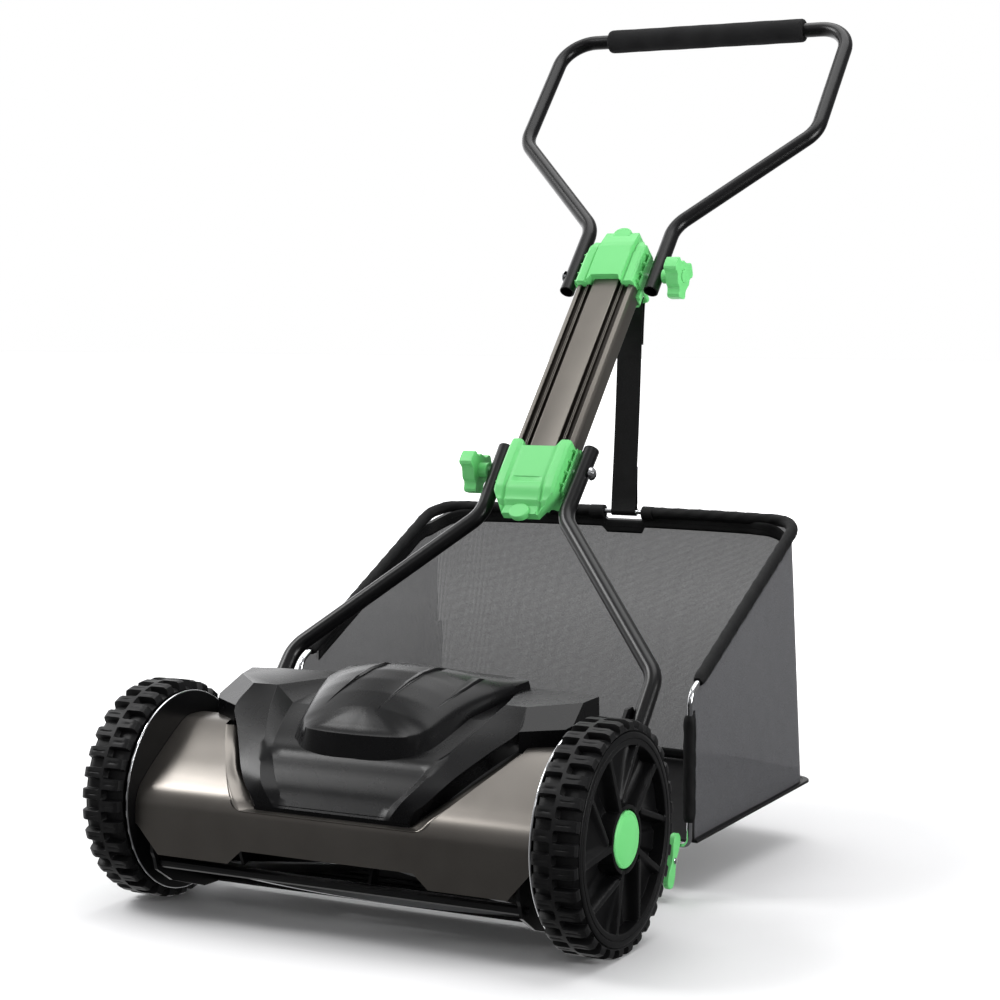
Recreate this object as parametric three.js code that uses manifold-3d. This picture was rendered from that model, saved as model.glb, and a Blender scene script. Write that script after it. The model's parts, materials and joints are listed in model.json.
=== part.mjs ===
// Push reel mower with a folding handle and a grass catcher. Millimetres, +Z up, the mower rolls along -Y.
// The model is drawn about the point on the ground under the wheel axle, then centred over the origin.
// "left" is +X and "right" is -X, as a person pushing the mower sees them.
import * as THREE from 'three';
import { mergeVertices } from 'three/addons/utils/BufferGeometryUtils.js';
import Module from 'manifold-3d';

const wasm = await Module();
wasm.setup();
const { Manifold, Mesh } = wasm;

// ---------------------------------------------------------------- driving dimensions
const GAP = 0.3; // clearance between pieces that touch
const WHEEL = { radius: 125, inner: 256.3, outer: 307, seat: 112.3, treadDepth: 6.5, lugs: 32 };
const HUB = { bore: 8.3, sleeve: 19, boss: 31, bossEnd: 300, cap: 30.7, web: 272, ringInner: 98 };
// Five pairs of wheel ribs: one radial, one slanted between a point near the hub and one at the ring.
const RIBS = { pairs: 5, thick: 4.5, radial: 41.5, hubRadius: 45, hubAngle: 29, ringAngle: 1.5 };
const AXLE = { radius: 8, y: 0, z: WHEEL.radius };
const GEAR = { module: 2.25, ringTeeth: 48, pinionTeeth: 12, start: 257.5, end: 268.5, angle: -74.5 };
const CENTRE_DISTANCE = (GEAR.module * (GEAR.ringTeeth - GEAR.pinionTeeth)) / 2;
const gearAngle = THREE.MathUtils.degToRad(GEAR.angle);
const REEL = {
  y: AXLE.y + CENTRE_DISTANCE * Math.cos(gearAngle),
  z: AXLE.z + CENTRE_DISTANCE * Math.sin(gearAngle),
  radius: 64, halfLength: 214, shaft: 6, blades: 5, bladeDepth: 14, bladeThick: 3.2, twist: 70,
};
const PLATE = { inner: 228, outer: 232 };
const GUARD = { radius: 113, inner: 250, outer: 253.5, thick: 1.6 };
const FRONT_ROD = { y: -82, z: 59, radius: 6 };
const CUTTER_BAR = { boltY: 60, boltZ: 31 };
const STUD_RADIUS = 4;
const BEARING = { flange: 17, neck: 12.4, start: PLATE.inner - 5, end: PLATE.outer + 3 };
// The hood's outer line from its front foot to its rear edge, and the opening in it that the cover fills.
const HOOD = { half: 249.5, thick: 2 };
const HOOD_LINE = [
  [-101, 72], [-101, 119], [-99, 133], [-93, 144.5], [-81, 156], [-66, 168], [-50, 179.5], [-28, 195],
  [-10, 206.2], [2, 210.6], [20, 211.2], [42, 208.5], [62, 200], [80, 187],
];
const HOOD_TOP = Math.max(...HOOD_LINE.map(([, z]) => z));
const OPENING = { low: 130.5, lowHalf: 114, high: 207, highHalf: 190 };
// The cover's middle and wing lines seen from the side, its outlines seen from the front and from above.
const COVER = {
  middle: [
    [-91, 138], [-52, 191], [-38, 197.5], [-22, 205.5], [-1, 215], [19, 223], [60, 235], [110, 246],
    [140, 249],
  ],
  wing: [
    [-91, 138], [-89.5, 152], [-86, 161.5], [-72, 176], [-54, 191], [-28, 211], [-2, 229], [31, 249.3],
    [75, 252.5], [140, 251],
  ],
  edge: [[98, 136], [182, 228], [182, 300]],
  crest: [[72, 134], [147.5, 249.5], [147.5, 300]],
  plan: [[120, -120], [182, -2], [223, 25], [228, 34], [228, 100], [200, 118], [132, 138]],
  facet: [[181.7, -2, 228.2], [223.3, 24.9, 229.6], [176, 27, 249.7]],
  wall: 3,
};
// Half of the dome on the cover: its rim points, then its crown points on the middle plane.
const DOME = {
  rim: [
    [60, -45, 217.5], [76, -25, 220], [84, -12, 225], [92, 13, 233], [102, 48, 242.7], [113, 90, 253],
    [119, 138, 256],
    [60, -45, 190], [70, -34, 192], [86, 20, 208], [104, 138, 226],
  ],
  crown: [
    [0, -50, 217.5], [0, -30, 229.5], [0, 0, 247.5], [0, 30, 265], [0, 60, 275], [0, 85, 275.5],
    [0, 115, 270], [0, 138, 263], [0, -52, 186], [0, 138, 222],
  ],
  shoulder: [[62, 30, 256], [66, 62, 266], [70, 90, 268], [72, 138, 262]],
};
const TUBE = { radius: 10, bore: 8.4 };
const HANDLE = { y: 94.2, z: WHEEL.radius, angle: THREE.MathUtils.degToRad(48.67) };
// Positions along the handle plane, measured from the axle's height at HANDLE.y.
const PLATE_BOLT = 95;
const LOWER_BOLT = 466;
const UPPER_BOLT = 792;
const BOLT_RADIUS = 4;
const LOWER_TUBE = { x: 242.5, start: 45, bend: 182, neckX: 57, neck: 397.2, topX: 60, end: 503, radius: 42 };
const LOOP = { x: 60.6, start: 765.6, bend: 880.2, wideX: 217.5, wide: 1048.8, top: 1250.8, radius: 45 };
const COLUMN = { start: 440, end: 818, half: 41.5, front: 15, wall: 2.6 };
const CLAMP = { half: 46.8, reach: 36, nose: 71, crown: 24 };
const KNOB = { mean: 20, lobe: 11, boss: 9.5, gap: 11, thick: 18 };
const GRIP = { radius: 16.5, half: 149.2 };
const ROLLER = { y: 232, z: 21, radius: 21, half: 222, shaft: 4.5 };
const ROLLER_PIVOT = { y: 178, z: 62, radius: 5 };
const BRACKET = { inner: 235, outer: 239 };
const LEVER = { footY: 233, footZ: 24, topY: 250, topZ: 68, inner: 249, outer: 256 };
const BAG = {
  half: 265, front: 262, hookZ: 60, shoulderZ: 236, rearY: 606, topZ: 408, bow: 38, wire: 3.4,
  wall: 2, lean: 0.04, floorZ: 64.5, floorSlope: 0.0345,
};
const STRAP = { half: 17.5, thick: 2, x: 4, bailY: 665.2, bailZ: 688.2, bail: 3 };

const SIDES = [{ name: 'left', sign: 1 }, { name: 'right', sign: -1 }];

// ---------------------------------------------------------------- solid helpers
function solid(geometry) {
  const bare = geometry.index ? geometry.toNonIndexed() : geometry.clone();
  bare.deleteAttribute('normal');
  bare.deleteAttribute('uv');
  const merged = mergeVertices(bare, 1e-4);
  const index = merged.index.array;
  const kept = [];
  for (let i = 0; i < index.length; i += 3) {
    const [a, b, c] = [index[i], index[i + 1], index[i + 2]];
    if (a !== b && b !== c && c !== a) kept.push(a, b, c);
  }
  const vertProperties = new Float32Array(merged.attributes.position.array);
  return new Manifold(new Mesh({ numProp: 3, vertProperties, triVerts: new Uint32Array(kept) }));
}

function geometryOf(manifold) {
  const mesh = manifold.getMesh();
  const geometry = new THREE.BufferGeometry();
  geometry.setAttribute('position', new THREE.BufferAttribute(mesh.vertProperties, 3));
  geometry.setIndex(new THREE.BufferAttribute(mesh.triVerts, 1));
  return geometry;
}

const union = (parts) => parts.reduce((whole, part) => whole.add(part));
const moved = (shape, x, y, z) => shape.translate([x, y, z]);
const mirroredX = (shape) => shape.mirror([1, 0, 0]);
const onSide = (shape, side) => (side.sign > 0 ? shape : mirroredX(shape));

function box(x0, x1, y0, y1, z0, z1) {
  const geometry = new THREE.BoxGeometry(x1 - x0, y1 - y0, z1 - z0);
  return solid(geometry.translate((x0 + x1) / 2, (y0 + y1) / 2, (z0 + z1) / 2));
}

// Turns an extrusion of (y, z) points along its own depth into one along +X.
const ALONG_X = new THREE.Matrix4().makeBasis(
  new THREE.Vector3(0, 1, 0), new THREE.Vector3(0, 0, 1), new THREE.Vector3(1, 0, 0));
// Turns an extrusion of (x, z) points into one along -Y.
const ALONG_Y = new THREE.Matrix4().makeBasis(
  new THREE.Vector3(1, 0, 0), new THREE.Vector3(0, 0, 1), new THREE.Vector3(0, -1, 0));

function outline(points) {
  return new THREE.Shape(points.map(([u, v]) => new THREE.Vector2(u, v)));
}

function extrude(shape, depth, curveSegments = 8) {
  return new THREE.ExtrudeGeometry(shape, { depth, bevelEnabled: false, curveSegments });
}

function profileX(shape, x0, x1, curveSegments) {
  return moved(solid(extrude(shape, x1 - x0, curveSegments).applyMatrix4(ALONG_X)), x0, 0, 0);
}

function profileY(shape, y0, y1, curveSegments) {
  return moved(solid(extrude(shape, y1 - y0, curveSegments).applyMatrix4(ALONG_Y)), 0, y1, 0);
}

function cylinderX(radius, x0, x1, y, z, segments = 20) {
  const geometry = new THREE.CylinderGeometry(radius, radius, x1 - x0, segments).rotateZ(-Math.PI / 2);
  return solid(geometry.translate((x0 + x1) / 2, y, z));
}

// A closed (radius, x) profile turned about the line through (y, z) along X.
function turnedX(profile, y, z, segments) {
  const points = [...profile, profile[0]].map(([r, x]) => new THREE.Vector2(r, x));
  return moved(solid(new THREE.LatheGeometry(points, segments).rotateZ(-Math.PI / 2)), 0, y, z);
}

// An open line moved sideways, to the right of its direction of travel.
function shifted(line, distance) {
  return line.map(([u, v], i) => {
    const [u0, v0] = line[Math.max(i - 1, 0)];
    const [u1, v1] = line[Math.min(i + 1, line.length - 1)];
    const length = Math.hypot(u1 - u0, v1 - v0);
    return [u + (distance * (v1 - v0)) / length, v - (distance * (u1 - u0)) / length];
  });
}

const mirroredLine = (line) => line.toReversed().map(([u, v]) => [-u, v]);
const polar = (y, z, radius, angle) => [y + radius * Math.cos(angle), z + radius * Math.sin(angle)];

function arcPoints(y, z, radius, from, to, count) {
  return Array.from({ length: count + 1 }, (_, i) => {
    const angle = THREE.MathUtils.degToRad(from + ((to - from) * i) / count);
    return polar(y, z, radius, angle);
  });
}

// ---------------------------------------------------------------- bent tubes
// A route through corner points, with each corner rounded to its own radius.
class Route extends THREE.Curve {
  constructor(points) {
    super();
    this.points = points;
  }

  getPoint(t) {
    const place = THREE.MathUtils.clamp(t, 0, 1) * (this.points.length - 1);
    const i = Math.min(Math.floor(place), this.points.length - 2);
    return this.points[i].clone().lerp(this.points[i + 1], place - i);
  }

  getPointAt(t) {
    return this.getPoint(t);
  }

  getTangent(t) {
    const i = Math.round(t * (this.points.length - 1));
    const before = this.points[i].clone().sub(this.points[Math.max(i - 1, 0)]).normalize();
    const next = this.points[Math.min(i + 1, this.points.length - 1)];
    const after = next.clone().sub(this.points[i]).normalize();
    return before.add(after).normalize();
  }

  getTangentAt(t) {
    return this.getTangent(t);
  }
}

function rounded(corners, stepsPerBend = 4) {
  const points = [corners[0].at.clone()];
  for (let i = 1; i < corners.length - 1; i += 1) {
    const { at, radius } = corners[i];
    const back = corners[i - 1].at.clone().sub(at).normalize();
    const on = corners[i + 1].at.clone().sub(at).normalize();
    const half = back.angleTo(on) / 2;
    const reach = radius / Math.tan(half);
    const centre = at.clone().add(back.clone().add(on).normalize().multiplyScalar(radius / Math.sin(half)));
    const start = at.clone().addScaledVector(back, reach).sub(centre);
    const end = at.clone().addScaledVector(on, reach).sub(centre);
    const sweep = start.angleTo(end);
    for (let k = 0; k <= stepsPerBend; k += 1) {
      const f = k / stepsPerBend;
      const a = Math.sin((1 - f) * sweep) / Math.sin(sweep);
      const b = Math.sin(f * sweep) / Math.sin(sweep);
      points.push(centre.clone().addScaledVector(start, a).addScaledVector(end, b));
    }
  }
  points.push(corners[corners.length - 1].at.clone());
  return points;
}

function rod(points, radius, sides) {
  const section = new THREE.Shape();
  const corners = Array.from({ length: sides }, (_, i) => {
    const angle = (2 * Math.PI * (i + 0.5)) / sides;
    return new THREE.Vector2(radius * Math.cos(angle), radius * Math.sin(angle));
  });
  section.setFromPoints(corners);
  return solid(new THREE.ExtrudeGeometry(section, {
    extrudePath: new Route(points), steps: points.length - 1, bevelEnabled: false,
  }));
}

function stretched(points, extra) {
  const longer = points.map((point) => point.clone());
  const last = longer.length - 1;
  longer[0].addScaledVector(points[0].clone().sub(points[1]).normalize(), extra);
  longer[last].addScaledVector(points[last].clone().sub(points[last - 1]).normalize(), extra);
  return longer;
}

const vec = (x, y, z) => new THREE.Vector3(x, y, z);

// A point given across the handle, along it and out of its front face.
const onHandle = (x, s, off = 0) => vec(
  x,
  HANDLE.y + s * Math.cos(HANDLE.angle) - off * Math.sin(HANDLE.angle),
  HANDLE.z + s * Math.sin(HANDLE.angle) + off * Math.cos(HANDLE.angle));
const TUBE_BOLT = onHandle(0, PLATE_BOLT);

// ---------------------------------------------------------------- colours and the scene graph
const FINISH = {
  green: { color: 0x6fdc7d, roughness: 0.45, metalness: 0 },
  blackPlastic: { color: 0x1c1c1d, roughness: 0.5, metalness: 0 },
  blackPaint: { color: 0x101010, roughness: 0.3, metalness: 0.2 },
  bronze: { color: 0x5f584f, roughness: 0.35, metalness: 0.9 },
  column: { color: 0x8c857d, roughness: 0.4, metalness: 0.8 },
  rubber: { color: 0x202021, roughness: 0.85, metalness: 0 },
  foam: { color: 0x141414, roughness: 0.95, metalness: 0 },
  steel: { color: 0x9a9a9a, roughness: 0.35, metalness: 1 },
  chrome: { color: 0xd8d8d8, roughness: 0.12, metalness: 1 },
  mesh: { color: 0x6c6d70, roughness: 0.9, metalness: 0 },
  webbing: { color: 0x161616, roughness: 0.9, metalness: 0 },
};

const mower = new THREE.Group();
const handleFrame = new THREE.Group(); // its Y runs up the handle and its Z stands out of the front face
handleFrame.position.set(0, HANDLE.y, HANDLE.z);
handleFrame.rotation.x = HANDLE.angle;
mower.add(handleFrame);

function add(name, shape, finish, parent = mower) {
  const mesh = new THREE.Mesh(geometryOf(shape), new THREE.MeshStandardMaterial(FINISH[finish]));
  mesh.name = name;
  parent.add(mesh);
}

// ---------------------------------------------------------------- wheels
function tyre() {
  const { radius, inner, outer, seat, treadDepth, lugs } = WHEEL;
  const shoulder = radius - 2;
  const blank = turnedX([
    [seat + GAP, inner], [shoulder - 2, inner], [radius, inner + 5], [radius, outer - 5],
    [shoulder - 2, outer], [seat + GAP, outer],
  ], AXLE.y, AXLE.z, lugs * 2);
  const width = outer - inner;
  const pocket = { reach: width * 0.42, halfWidth: 5.6 };
  const pockets = [];
  for (let i = 0; i < lugs * 2; i += 1) {
    const outboard = i % 2 === 0;
    const angle = (Math.PI * (i + 0.5)) / lugs;
    const x0 = outboard ? outer - pocket.reach : inner - 1;
    const x1 = outboard ? outer + 1 : inner + pocket.reach;
    const bar = box(x0, x1, -pocket.halfWidth, pocket.halfWidth, radius - treadDepth, radius + 2);
    const turned = bar.rotate([THREE.MathUtils.radToDeg(angle), 0, 0]);
    pockets.push(moved(turned, 0, AXLE.y, AXLE.z));
  }
  return blank.subtract(union(pockets));
}

function internalTeeth() {
  const pitch = (2 * Math.PI) / GEAR.ringTeeth;
  const middle = (GEAR.module * GEAR.ringTeeth) / 2;
  const [tip, root] = [middle - 1.7, middle + 2.7];
  const points = [];
  for (let i = 0; i < GEAR.ringTeeth; i += 1) {
    const centre = gearAngle + pitch * (i + 0.5);
    points.push(polar(0, 0, root, centre - pitch * 0.3), polar(0, 0, tip, centre - pitch * 0.12));
    points.push(polar(0, 0, tip, centre + pitch * 0.12), polar(0, 0, root, centre + pitch * 0.3));
  }
  return points;
}

// A straight rib between two points given as radius and angle in degrees.
function ribBetween(from, to, x0, x1) {
  const at = ([radius, degrees]) => polar(0, 0, radius, THREE.MathUtils.degToRad(degrees));
  const [a, b] = [at(from), at(to)];
  const length = Math.hypot(b[0] - a[0], b[1] - a[1]);
  const across = [(-(b[1] - a[1]) / length) * RIBS.thick / 2, ((b[0] - a[0]) / length) * RIBS.thick / 2];
  return profileX(outline([
    [a[0] - across[0], a[1] - across[1]], [b[0] - across[0], b[1] - across[1]],
    [b[0] + across[0], b[1] + across[1]], [a[0] + across[0], a[1] + across[1]],
  ]), x0, x1);
}

function wheelRibs(x0, x1) {
  const { pairs, radial, hubRadius, hubAngle, ringAngle } = RIBS;
  const ring = HUB.ringInner + 1;
  return Array.from({ length: pairs }, (_, i) => (360 * i) / pairs).flatMap((turn) => [
    ribBetween([HUB.boss - 3, radial + turn], [ring, radial + turn], x0, x1),
    ribBetween([hubRadius - 16, hubAngle + 4 + turn], [hubRadius, hubAngle + turn], x0, x1),
    ribBetween([hubRadius, hubAngle + turn], [ring, ringAngle + turn], x0, x1),
  ]);
}

function rim() {
  const { sleeve, boss, bossEnd, bore, web, ringInner } = HUB;
  const outerRadius = WHEEL.seat;
  const face = WHEEL.outer - 1.5;
  const back = WHEEL.inner + 1;
  const webEnd = web + 4;
  const body = turnedX([
    [bore, back], [sleeve, back], [sleeve, web], [ringInner - 2, web], [ringInner - 2, back],
    [outerRadius, back], [outerRadius, face], [ringInner, face], [ringInner - 3, webEnd],
    [boss, webEnd], [boss, bossEnd], [15, bossEnd], [15, bossEnd - 16], [bore, bossEnd - 16],
  ], 0, 0, 36);
  const gearBlank = new THREE.Shape();
  gearBlank.absarc(0, 0, 63, 0, 2 * Math.PI);
  gearBlank.holes.push(outline(internalTeeth()));
  const ringGear = profileX(gearBlank, GEAR.start, web + 1, 16);
  return moved(union([body, ringGear, ...wheelRibs(web + 1, bossEnd - 1)]), 0, AXLE.y, AXLE.z);
}

function hubCap() {
  const { cap, bossEnd } = HUB;
  const top = WHEEL.outer - 0.6;
  return turnedX([
    [0, bossEnd + GAP], [cap, bossEnd + GAP], [cap, top - 2.5], [cap - 2.5, top], [cap - 6, top],
    [cap * 0.55, top - 1.2], [0, top - 1.6],
  ], AXLE.y, AXLE.z, 28);
}

function pinion() {
  const { module: m, pinionTeeth, start, end } = GEAR;
  const pitch = (2 * Math.PI) / pinionTeeth;
  const middle = (m * pinionTeeth) / 2;
  const [tip, root] = [middle + 1.5, middle - 2.9];
  const points = [];
  for (let i = 0; i < pinionTeeth; i += 1) {
    const centre = gearAngle + pitch * i;
    points.push(polar(0, 0, root, centre - pitch * 0.26), polar(0, 0, tip, centre - pitch * 0.1));
    points.push(polar(0, 0, tip, centre + pitch * 0.1), polar(0, 0, root, centre + pitch * 0.26));
  }
  const shape = outline(points);
  const bore = new THREE.Path();
  bore.absarc(0, 0, REEL.shaft + GAP, 0, 2 * Math.PI);
  shape.holes.push(bore);
  return moved(profileX(shape, start, end, 10), 0, REEL.y, REEL.z);
}

for (const side of SIDES) {
  add(`tyre_${side.name}`, onSide(tyre(), side), 'rubber');
  add(`rim_${side.name}`, onSide(rim(), side), 'blackPlastic');
  add(`hub_cap_${side.name}`, onSide(hubCap(), side), 'green');
  add(`pinion_${side.name}`, onSide(pinion(), side), 'steel');
}

// ---------------------------------------------------------------- cutting reel
function helicalBlade(index) {
  const steps = 20;
  const start = (2 * Math.PI * index) / REEL.blades;
  const twist = THREE.MathUtils.degToRad(REEL.twist);
  const shape = outline([
    [REEL.radius - REEL.bladeDepth, -REEL.bladeThick / 2], [REEL.radius, -REEL.bladeThick / 2],
    [REEL.radius, REEL.bladeThick / 2], [REEL.radius - REEL.bladeDepth, REEL.bladeThick / 2],
  ]);
  const length = 2 * REEL.halfLength;
  const geometry = new THREE.ExtrudeGeometry(shape, { depth: length, steps, bevelEnabled: false });
  const position = geometry.attributes.position;
  for (let i = 0; i < position.count; i += 1) {
    const angle = start + (twist * position.getZ(i)) / length;
    const [u, v] = [position.getX(i), position.getY(i)];
    position.setX(i, u * Math.cos(angle) - v * Math.sin(angle));
    position.setY(i, u * Math.sin(angle) + v * Math.cos(angle));
  }
  return moved(solid(geometry.applyMatrix4(ALONG_X)), -REEL.halfLength, REEL.y, REEL.z);
}

// A spider carries the five blades on short arms, turned to where the helix passes it.
function reelSpider(x) {
  const share = (x + REEL.halfLength) / (2 * REEL.halfLength);
  const offset = REEL.twist * share;
  const armEnd = REEL.radius - REEL.bladeDepth - GAP;
  const thick = 4;
  const disc = cylinderX(26, x - thick / 2, x + thick / 2, 0, 0, 20);
  const collar = cylinderX(13, x - 9, x + 9, 0, 0, 12);
  const arms = Array.from({ length: REEL.blades }, (_, i) => {
    const arm = box(x - thick / 2, x + thick / 2, 10, armEnd, -7, 7);
    return arm.rotate([offset + (360 * i) / REEL.blades, 0, 0]);
  });
  const bore = cylinderX(REEL.shaft + GAP, x - 20, x + 20, 0, 0, 12);
  return moved(union([disc, collar, ...arms]).subtract(bore), 0, REEL.y, REEL.z);
}

for (let i = 0; i < REEL.blades; i += 1) add(`reel_blade_${i + 1}`, helicalBlade(i), 'steel');
[-190, 0, 190].forEach((x, i) => add(`reel_spider_${i + 1}`, reelSpider(x), 'blackPaint'));
add('reel_shaft', cylinderX(REEL.shaft, -GEAR.end - 1, GEAR.end + 1, REEL.y, REEL.z, 20), 'steel');

// ---------------------------------------------------------------- chassis
function sidePlate() {
  const shape = outline([
    ...shifted(HOOD_LINE, HOOD.thick + 1.5).toReversed(),
    [-94, 66], [-90, 52], [-62, 34], [0, 14], [66, 13], [110, 40], [190, 40], [262, 50], [271, 60], [262, 71],
    [196, 78], [124, 96], [116, 124], [146, 160], [188, 206], [190, 216], [178, 232], [164, 231], [122, 184],
  ]);
  const holes = [
    [AXLE.y, AXLE.z, AXLE.radius], [REEL.y, REEL.z, BEARING.neck + 0.3],
    [ROLLER_PIVOT.y, ROLLER_PIVOT.z, ROLLER_PIVOT.radius], [BAG.front, BAG.hookZ, BAG.wire],
    [FRONT_ROD.y, FRONT_ROD.z, STUD_RADIUS], [CUTTER_BAR.boltY, CUTTER_BAR.boltZ, STUD_RADIUS],
    [TUBE_BOLT.y, TUBE_BOLT.z, BOLT_RADIUS],
  ];
  for (const [y, z, radius] of holes) {
    const hole = new THREE.Path();
    hole.absarc(y, z, radius + GAP, 0, 2 * Math.PI);
    shape.holes.push(hole);
  }
  return profileX(shape, PLATE.inner, PLATE.outer, 6);
}

// A dished disc beside each wheel keeps clippings out of its gears.
function wheelGuard() {
  const { radius, inner, outer, thick } = GUARD;
  const dish = turnedX([
    [AXLE.radius + 1, inner], [radius, inner], [radius, outer], [radius - thick, outer],
    [radius - thick, inner + thick], [AXLE.radius + 1, inner + thick],
  ], AXLE.y, AXLE.z, 36);
  const posts = [100, 190, 350].map((degrees) => {
    const [y, z] = polar(AXLE.y, AXLE.z, 62, THREE.MathUtils.degToRad(degrees));
    return cylinderX(5, PLATE.outer + GAP, inner + thick / 2, y, z, 12);
  });
  const shaftHole = cylinderX(10, inner - 2, outer + 2, REEL.y, REEL.z, 16);
  return union([dish, ...posts]).subtract(shaftHole);
}

function stubAxle() {
  const head = cylinderX(12, PLATE.inner - GAP - 8, PLATE.inner - GAP, AXLE.y, AXLE.z, 6);
  const shank = cylinderX(AXLE.radius, PLATE.inner - 4, HUB.bossEnd - 3, AXLE.y, AXLE.z, 24);
  const collar = turnedX([
    [AXLE.radius - 1, PLATE.outer + GAP], [14, PLATE.outer + GAP], [14, GUARD.inner - GAP],
    [AXLE.radius - 1, GUARD.inner - GAP],
  ], AXLE.y, AXLE.z, 20);
  return union([head, shank, collar]);
}

function axleNut() {
  const nut = cylinderX(12, HUB.bossEnd - 12, HUB.bossEnd - 5, AXLE.y, AXLE.z, 6);
  return nut.subtract(cylinderX(AXLE.radius + GAP, HUB.bossEnd - 20, HUB.bossEnd, AXLE.y, AXLE.z, 24));
}

function bearing() {
  const { flange, neck, start, end } = BEARING;
  const bore = REEL.shaft + GAP;
  const shoulder = PLATE.inner - GAP;
  return turnedX([
    [bore, start], [flange, start], [flange, shoulder], [neck, shoulder], [neck, end], [bore, end],
  ], REEL.y, REEL.z, 16);
}

// A prism seen from the front, from its right half-outline of (x, z) points, grown sideways by a margin.
function frontPrism(halfOutline, margin = 0) {
  const right = halfOutline.map(([x, z]) => [x + margin, z]);
  return profileY(outline([...right, ...mirroredLine(right)]), -140, 170);
}

function openingPrism(margin) {
  const { low, lowHalf, high, highHalf } = OPENING;
  return frontPrism([[lowHalf, low - margin], [highHalf, high], [highHalf, 330]], margin);
}

function hood() {
  const { half, thick } = HOOD;
  const [bottom, front] = [HOOD_LINE[0][1], HOOD_LINE[0][0]];
  const shell = profileX(outline([...HOOD_LINE, ...shifted(HOOD_LINE, thick).toReversed()]), -half, half);
  const notch = profileY(outline([[-126, 60], [126, 60], [108, 88], [-108, 88]]), front - 40, front + 40);
  const corner = profileY(outline([
    [219.5, 60], [270, 60], [270, 103], [248, 103], [219.5, bottom],
  ]), front - 40, front + 40);
  return shell.subtract(union([notch, corner, mirroredX(corner), openingPrism(0)]));
}

function dome() {
  const half = [...DOME.rim, ...DOME.shoulder];
  return Manifold.hull([...half, ...half.map(([x, y, z]) => [-x, y, z]), ...DOME.crown]);
}

// Everything on the inner side of a plane through three points.
function insidePlane(shape, [a, b, c]) {
  const [p, q, r] = [a, b, c].map(([x, y, z]) => vec(x, y, z));
  const normal = q.clone().sub(p).cross(r.clone().sub(p)).normalize().negate();
  return shape.trimByPlane([normal.x, normal.y, normal.z], normal.dot(p));
}

const mirroredPoints = (points) => points.map(([x, y, z]) => [-x, y, z]).toReversed();

function coverForm() {
  const { middle, wing, edge, crest, plan, facet } = COVER;
  const reach = 228;
  const under = shifted(HOOD_LINE, 6).filter(([, z]) => z > 140);
  const raised = profileX(outline([...wing, [140, 200], ...under.toReversed()]), -reach, reach);
  const channel = profileX(outline([...middle, [140, 330], [-120, 330], [-120, 138]]), -reach, reach);
  const carved = raised.subtract(channel.intersect(frontPrism(crest)));
  const planPrism = moved(solid(extrude(outline([...plan, ...mirroredLine(plan)]), 220)), 0, 0, 120);
  const inner = carved.intersect(frontPrism(edge));
  const outer = insidePlane(insidePlane(carved, facet), mirroredPoints(facet))
    .intersect(box(-reach, reach, -60, 140, HOOD_TOP + GAP, 300));
  return inner.add(outer).add(dome()).intersect(planPrism);
}

// A thin border that fills the rest of the hood's opening round the cover.
function coverBorder() {
  const sheet = outline([...shifted(HOOD_LINE, 0.4), ...shifted(HOOD_LINE, 2.4).toReversed()]);
  const inside = frontPrism(COVER.edge, -COVER.wall - 4);
  return profileX(sheet, -OPENING.highHalf, OPENING.highHalf)
    .intersect(openingPrism(-GAP - 0.3)).subtract(inside);
}

function topCover() {
  const form = coverForm();
  const { wall } = COVER;
  const shrunk = form.scale([0.975, 1, 1]);
  const hollow = shrunk.translate([0, wall * 0.8, -wall]).add(shrunk.translate([0, wall * 0.8, -wall - 25]))
    .add(shrunk.translate([0, wall * 0.8, -wall - 55]));
  return form.subtract(hollow).add(coverBorder());
}

function cutterBar() {
  return profileX(outline([
    [30, 13.5], [64, 13.5], [64, 44], [60, 44], [60, 17.5], [30, 17.5],
  ]), -PLATE.inner + GAP, PLATE.inner - GAP);
}

function bedKnife() {
  return profileX(outline([[12, 18.4], [44, 18], [44, 20.6], [12, 20.9]]), -218, 218);
}

for (const side of SIDES) {
  add(`side_plate_${side.name}`, onSide(sidePlate(), side), 'blackPaint');
  add(`wheel_guard_${side.name}`, onSide(wheelGuard(), side), 'bronze');
  add(`stub_axle_${side.name}`, onSide(stubAxle(), side), 'steel');
  add(`axle_nut_${side.name}`, onSide(axleNut(), side), 'steel');
  add(`reel_bearing_${side.name}`, onSide(bearing(), side), 'blackPlastic');
}
add('hood', hood(), 'bronze');
add('top_cover', topCover(), 'blackPlastic');
const rodEnd = PLATE.inner - GAP;
const frontRod = cylinderX(FRONT_ROD.radius, -rodEnd, rodEnd, FRONT_ROD.y, FRONT_ROD.z, 12);
const rodStud = cylinderX(4, -PLATE.outer - 4, PLATE.outer + 4, FRONT_ROD.y, FRONT_ROD.z, 12);
add('front_tie_rod', frontRod.add(rodStud), 'blackPaint');
const barStud = cylinderX(4, -PLATE.outer - 4, PLATE.outer + 4, CUTTER_BAR.boltY, CUTTER_BAR.boltZ, 10);
add('cutter_bar', cutterBar().add(barStud), 'blackPaint');
add('bed_knife', bedKnife(), 'steel');

// ---------------------------------------------------------------- rear roller and height levers
function rollerBracket() {
  const shape = outline([
    [168, 62], [170, 68], [178, 73], [188, 70], [240, 60], [251, 50], [250, 40], [243, 20], [240, 13],
    [232, 9], [224, 12], [220, 20], [212, 36], [174, 51],
  ]);
  const hole = new THREE.Path();
  hole.absarc(ROLLER.y, ROLLER.z, ROLLER.shaft + GAP, 0, 2 * Math.PI);
  shape.holes.push(hole);
  const plate = profileX(shape, BRACKET.inner, BRACKET.outer, 8);
  const { y, z, radius } = ROLLER_PIVOT;
  const pivot = cylinderX(radius, PLATE.inner - 6, BRACKET.inner + 1, y, z, 16);
  return plate.add(pivot);
}

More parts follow.
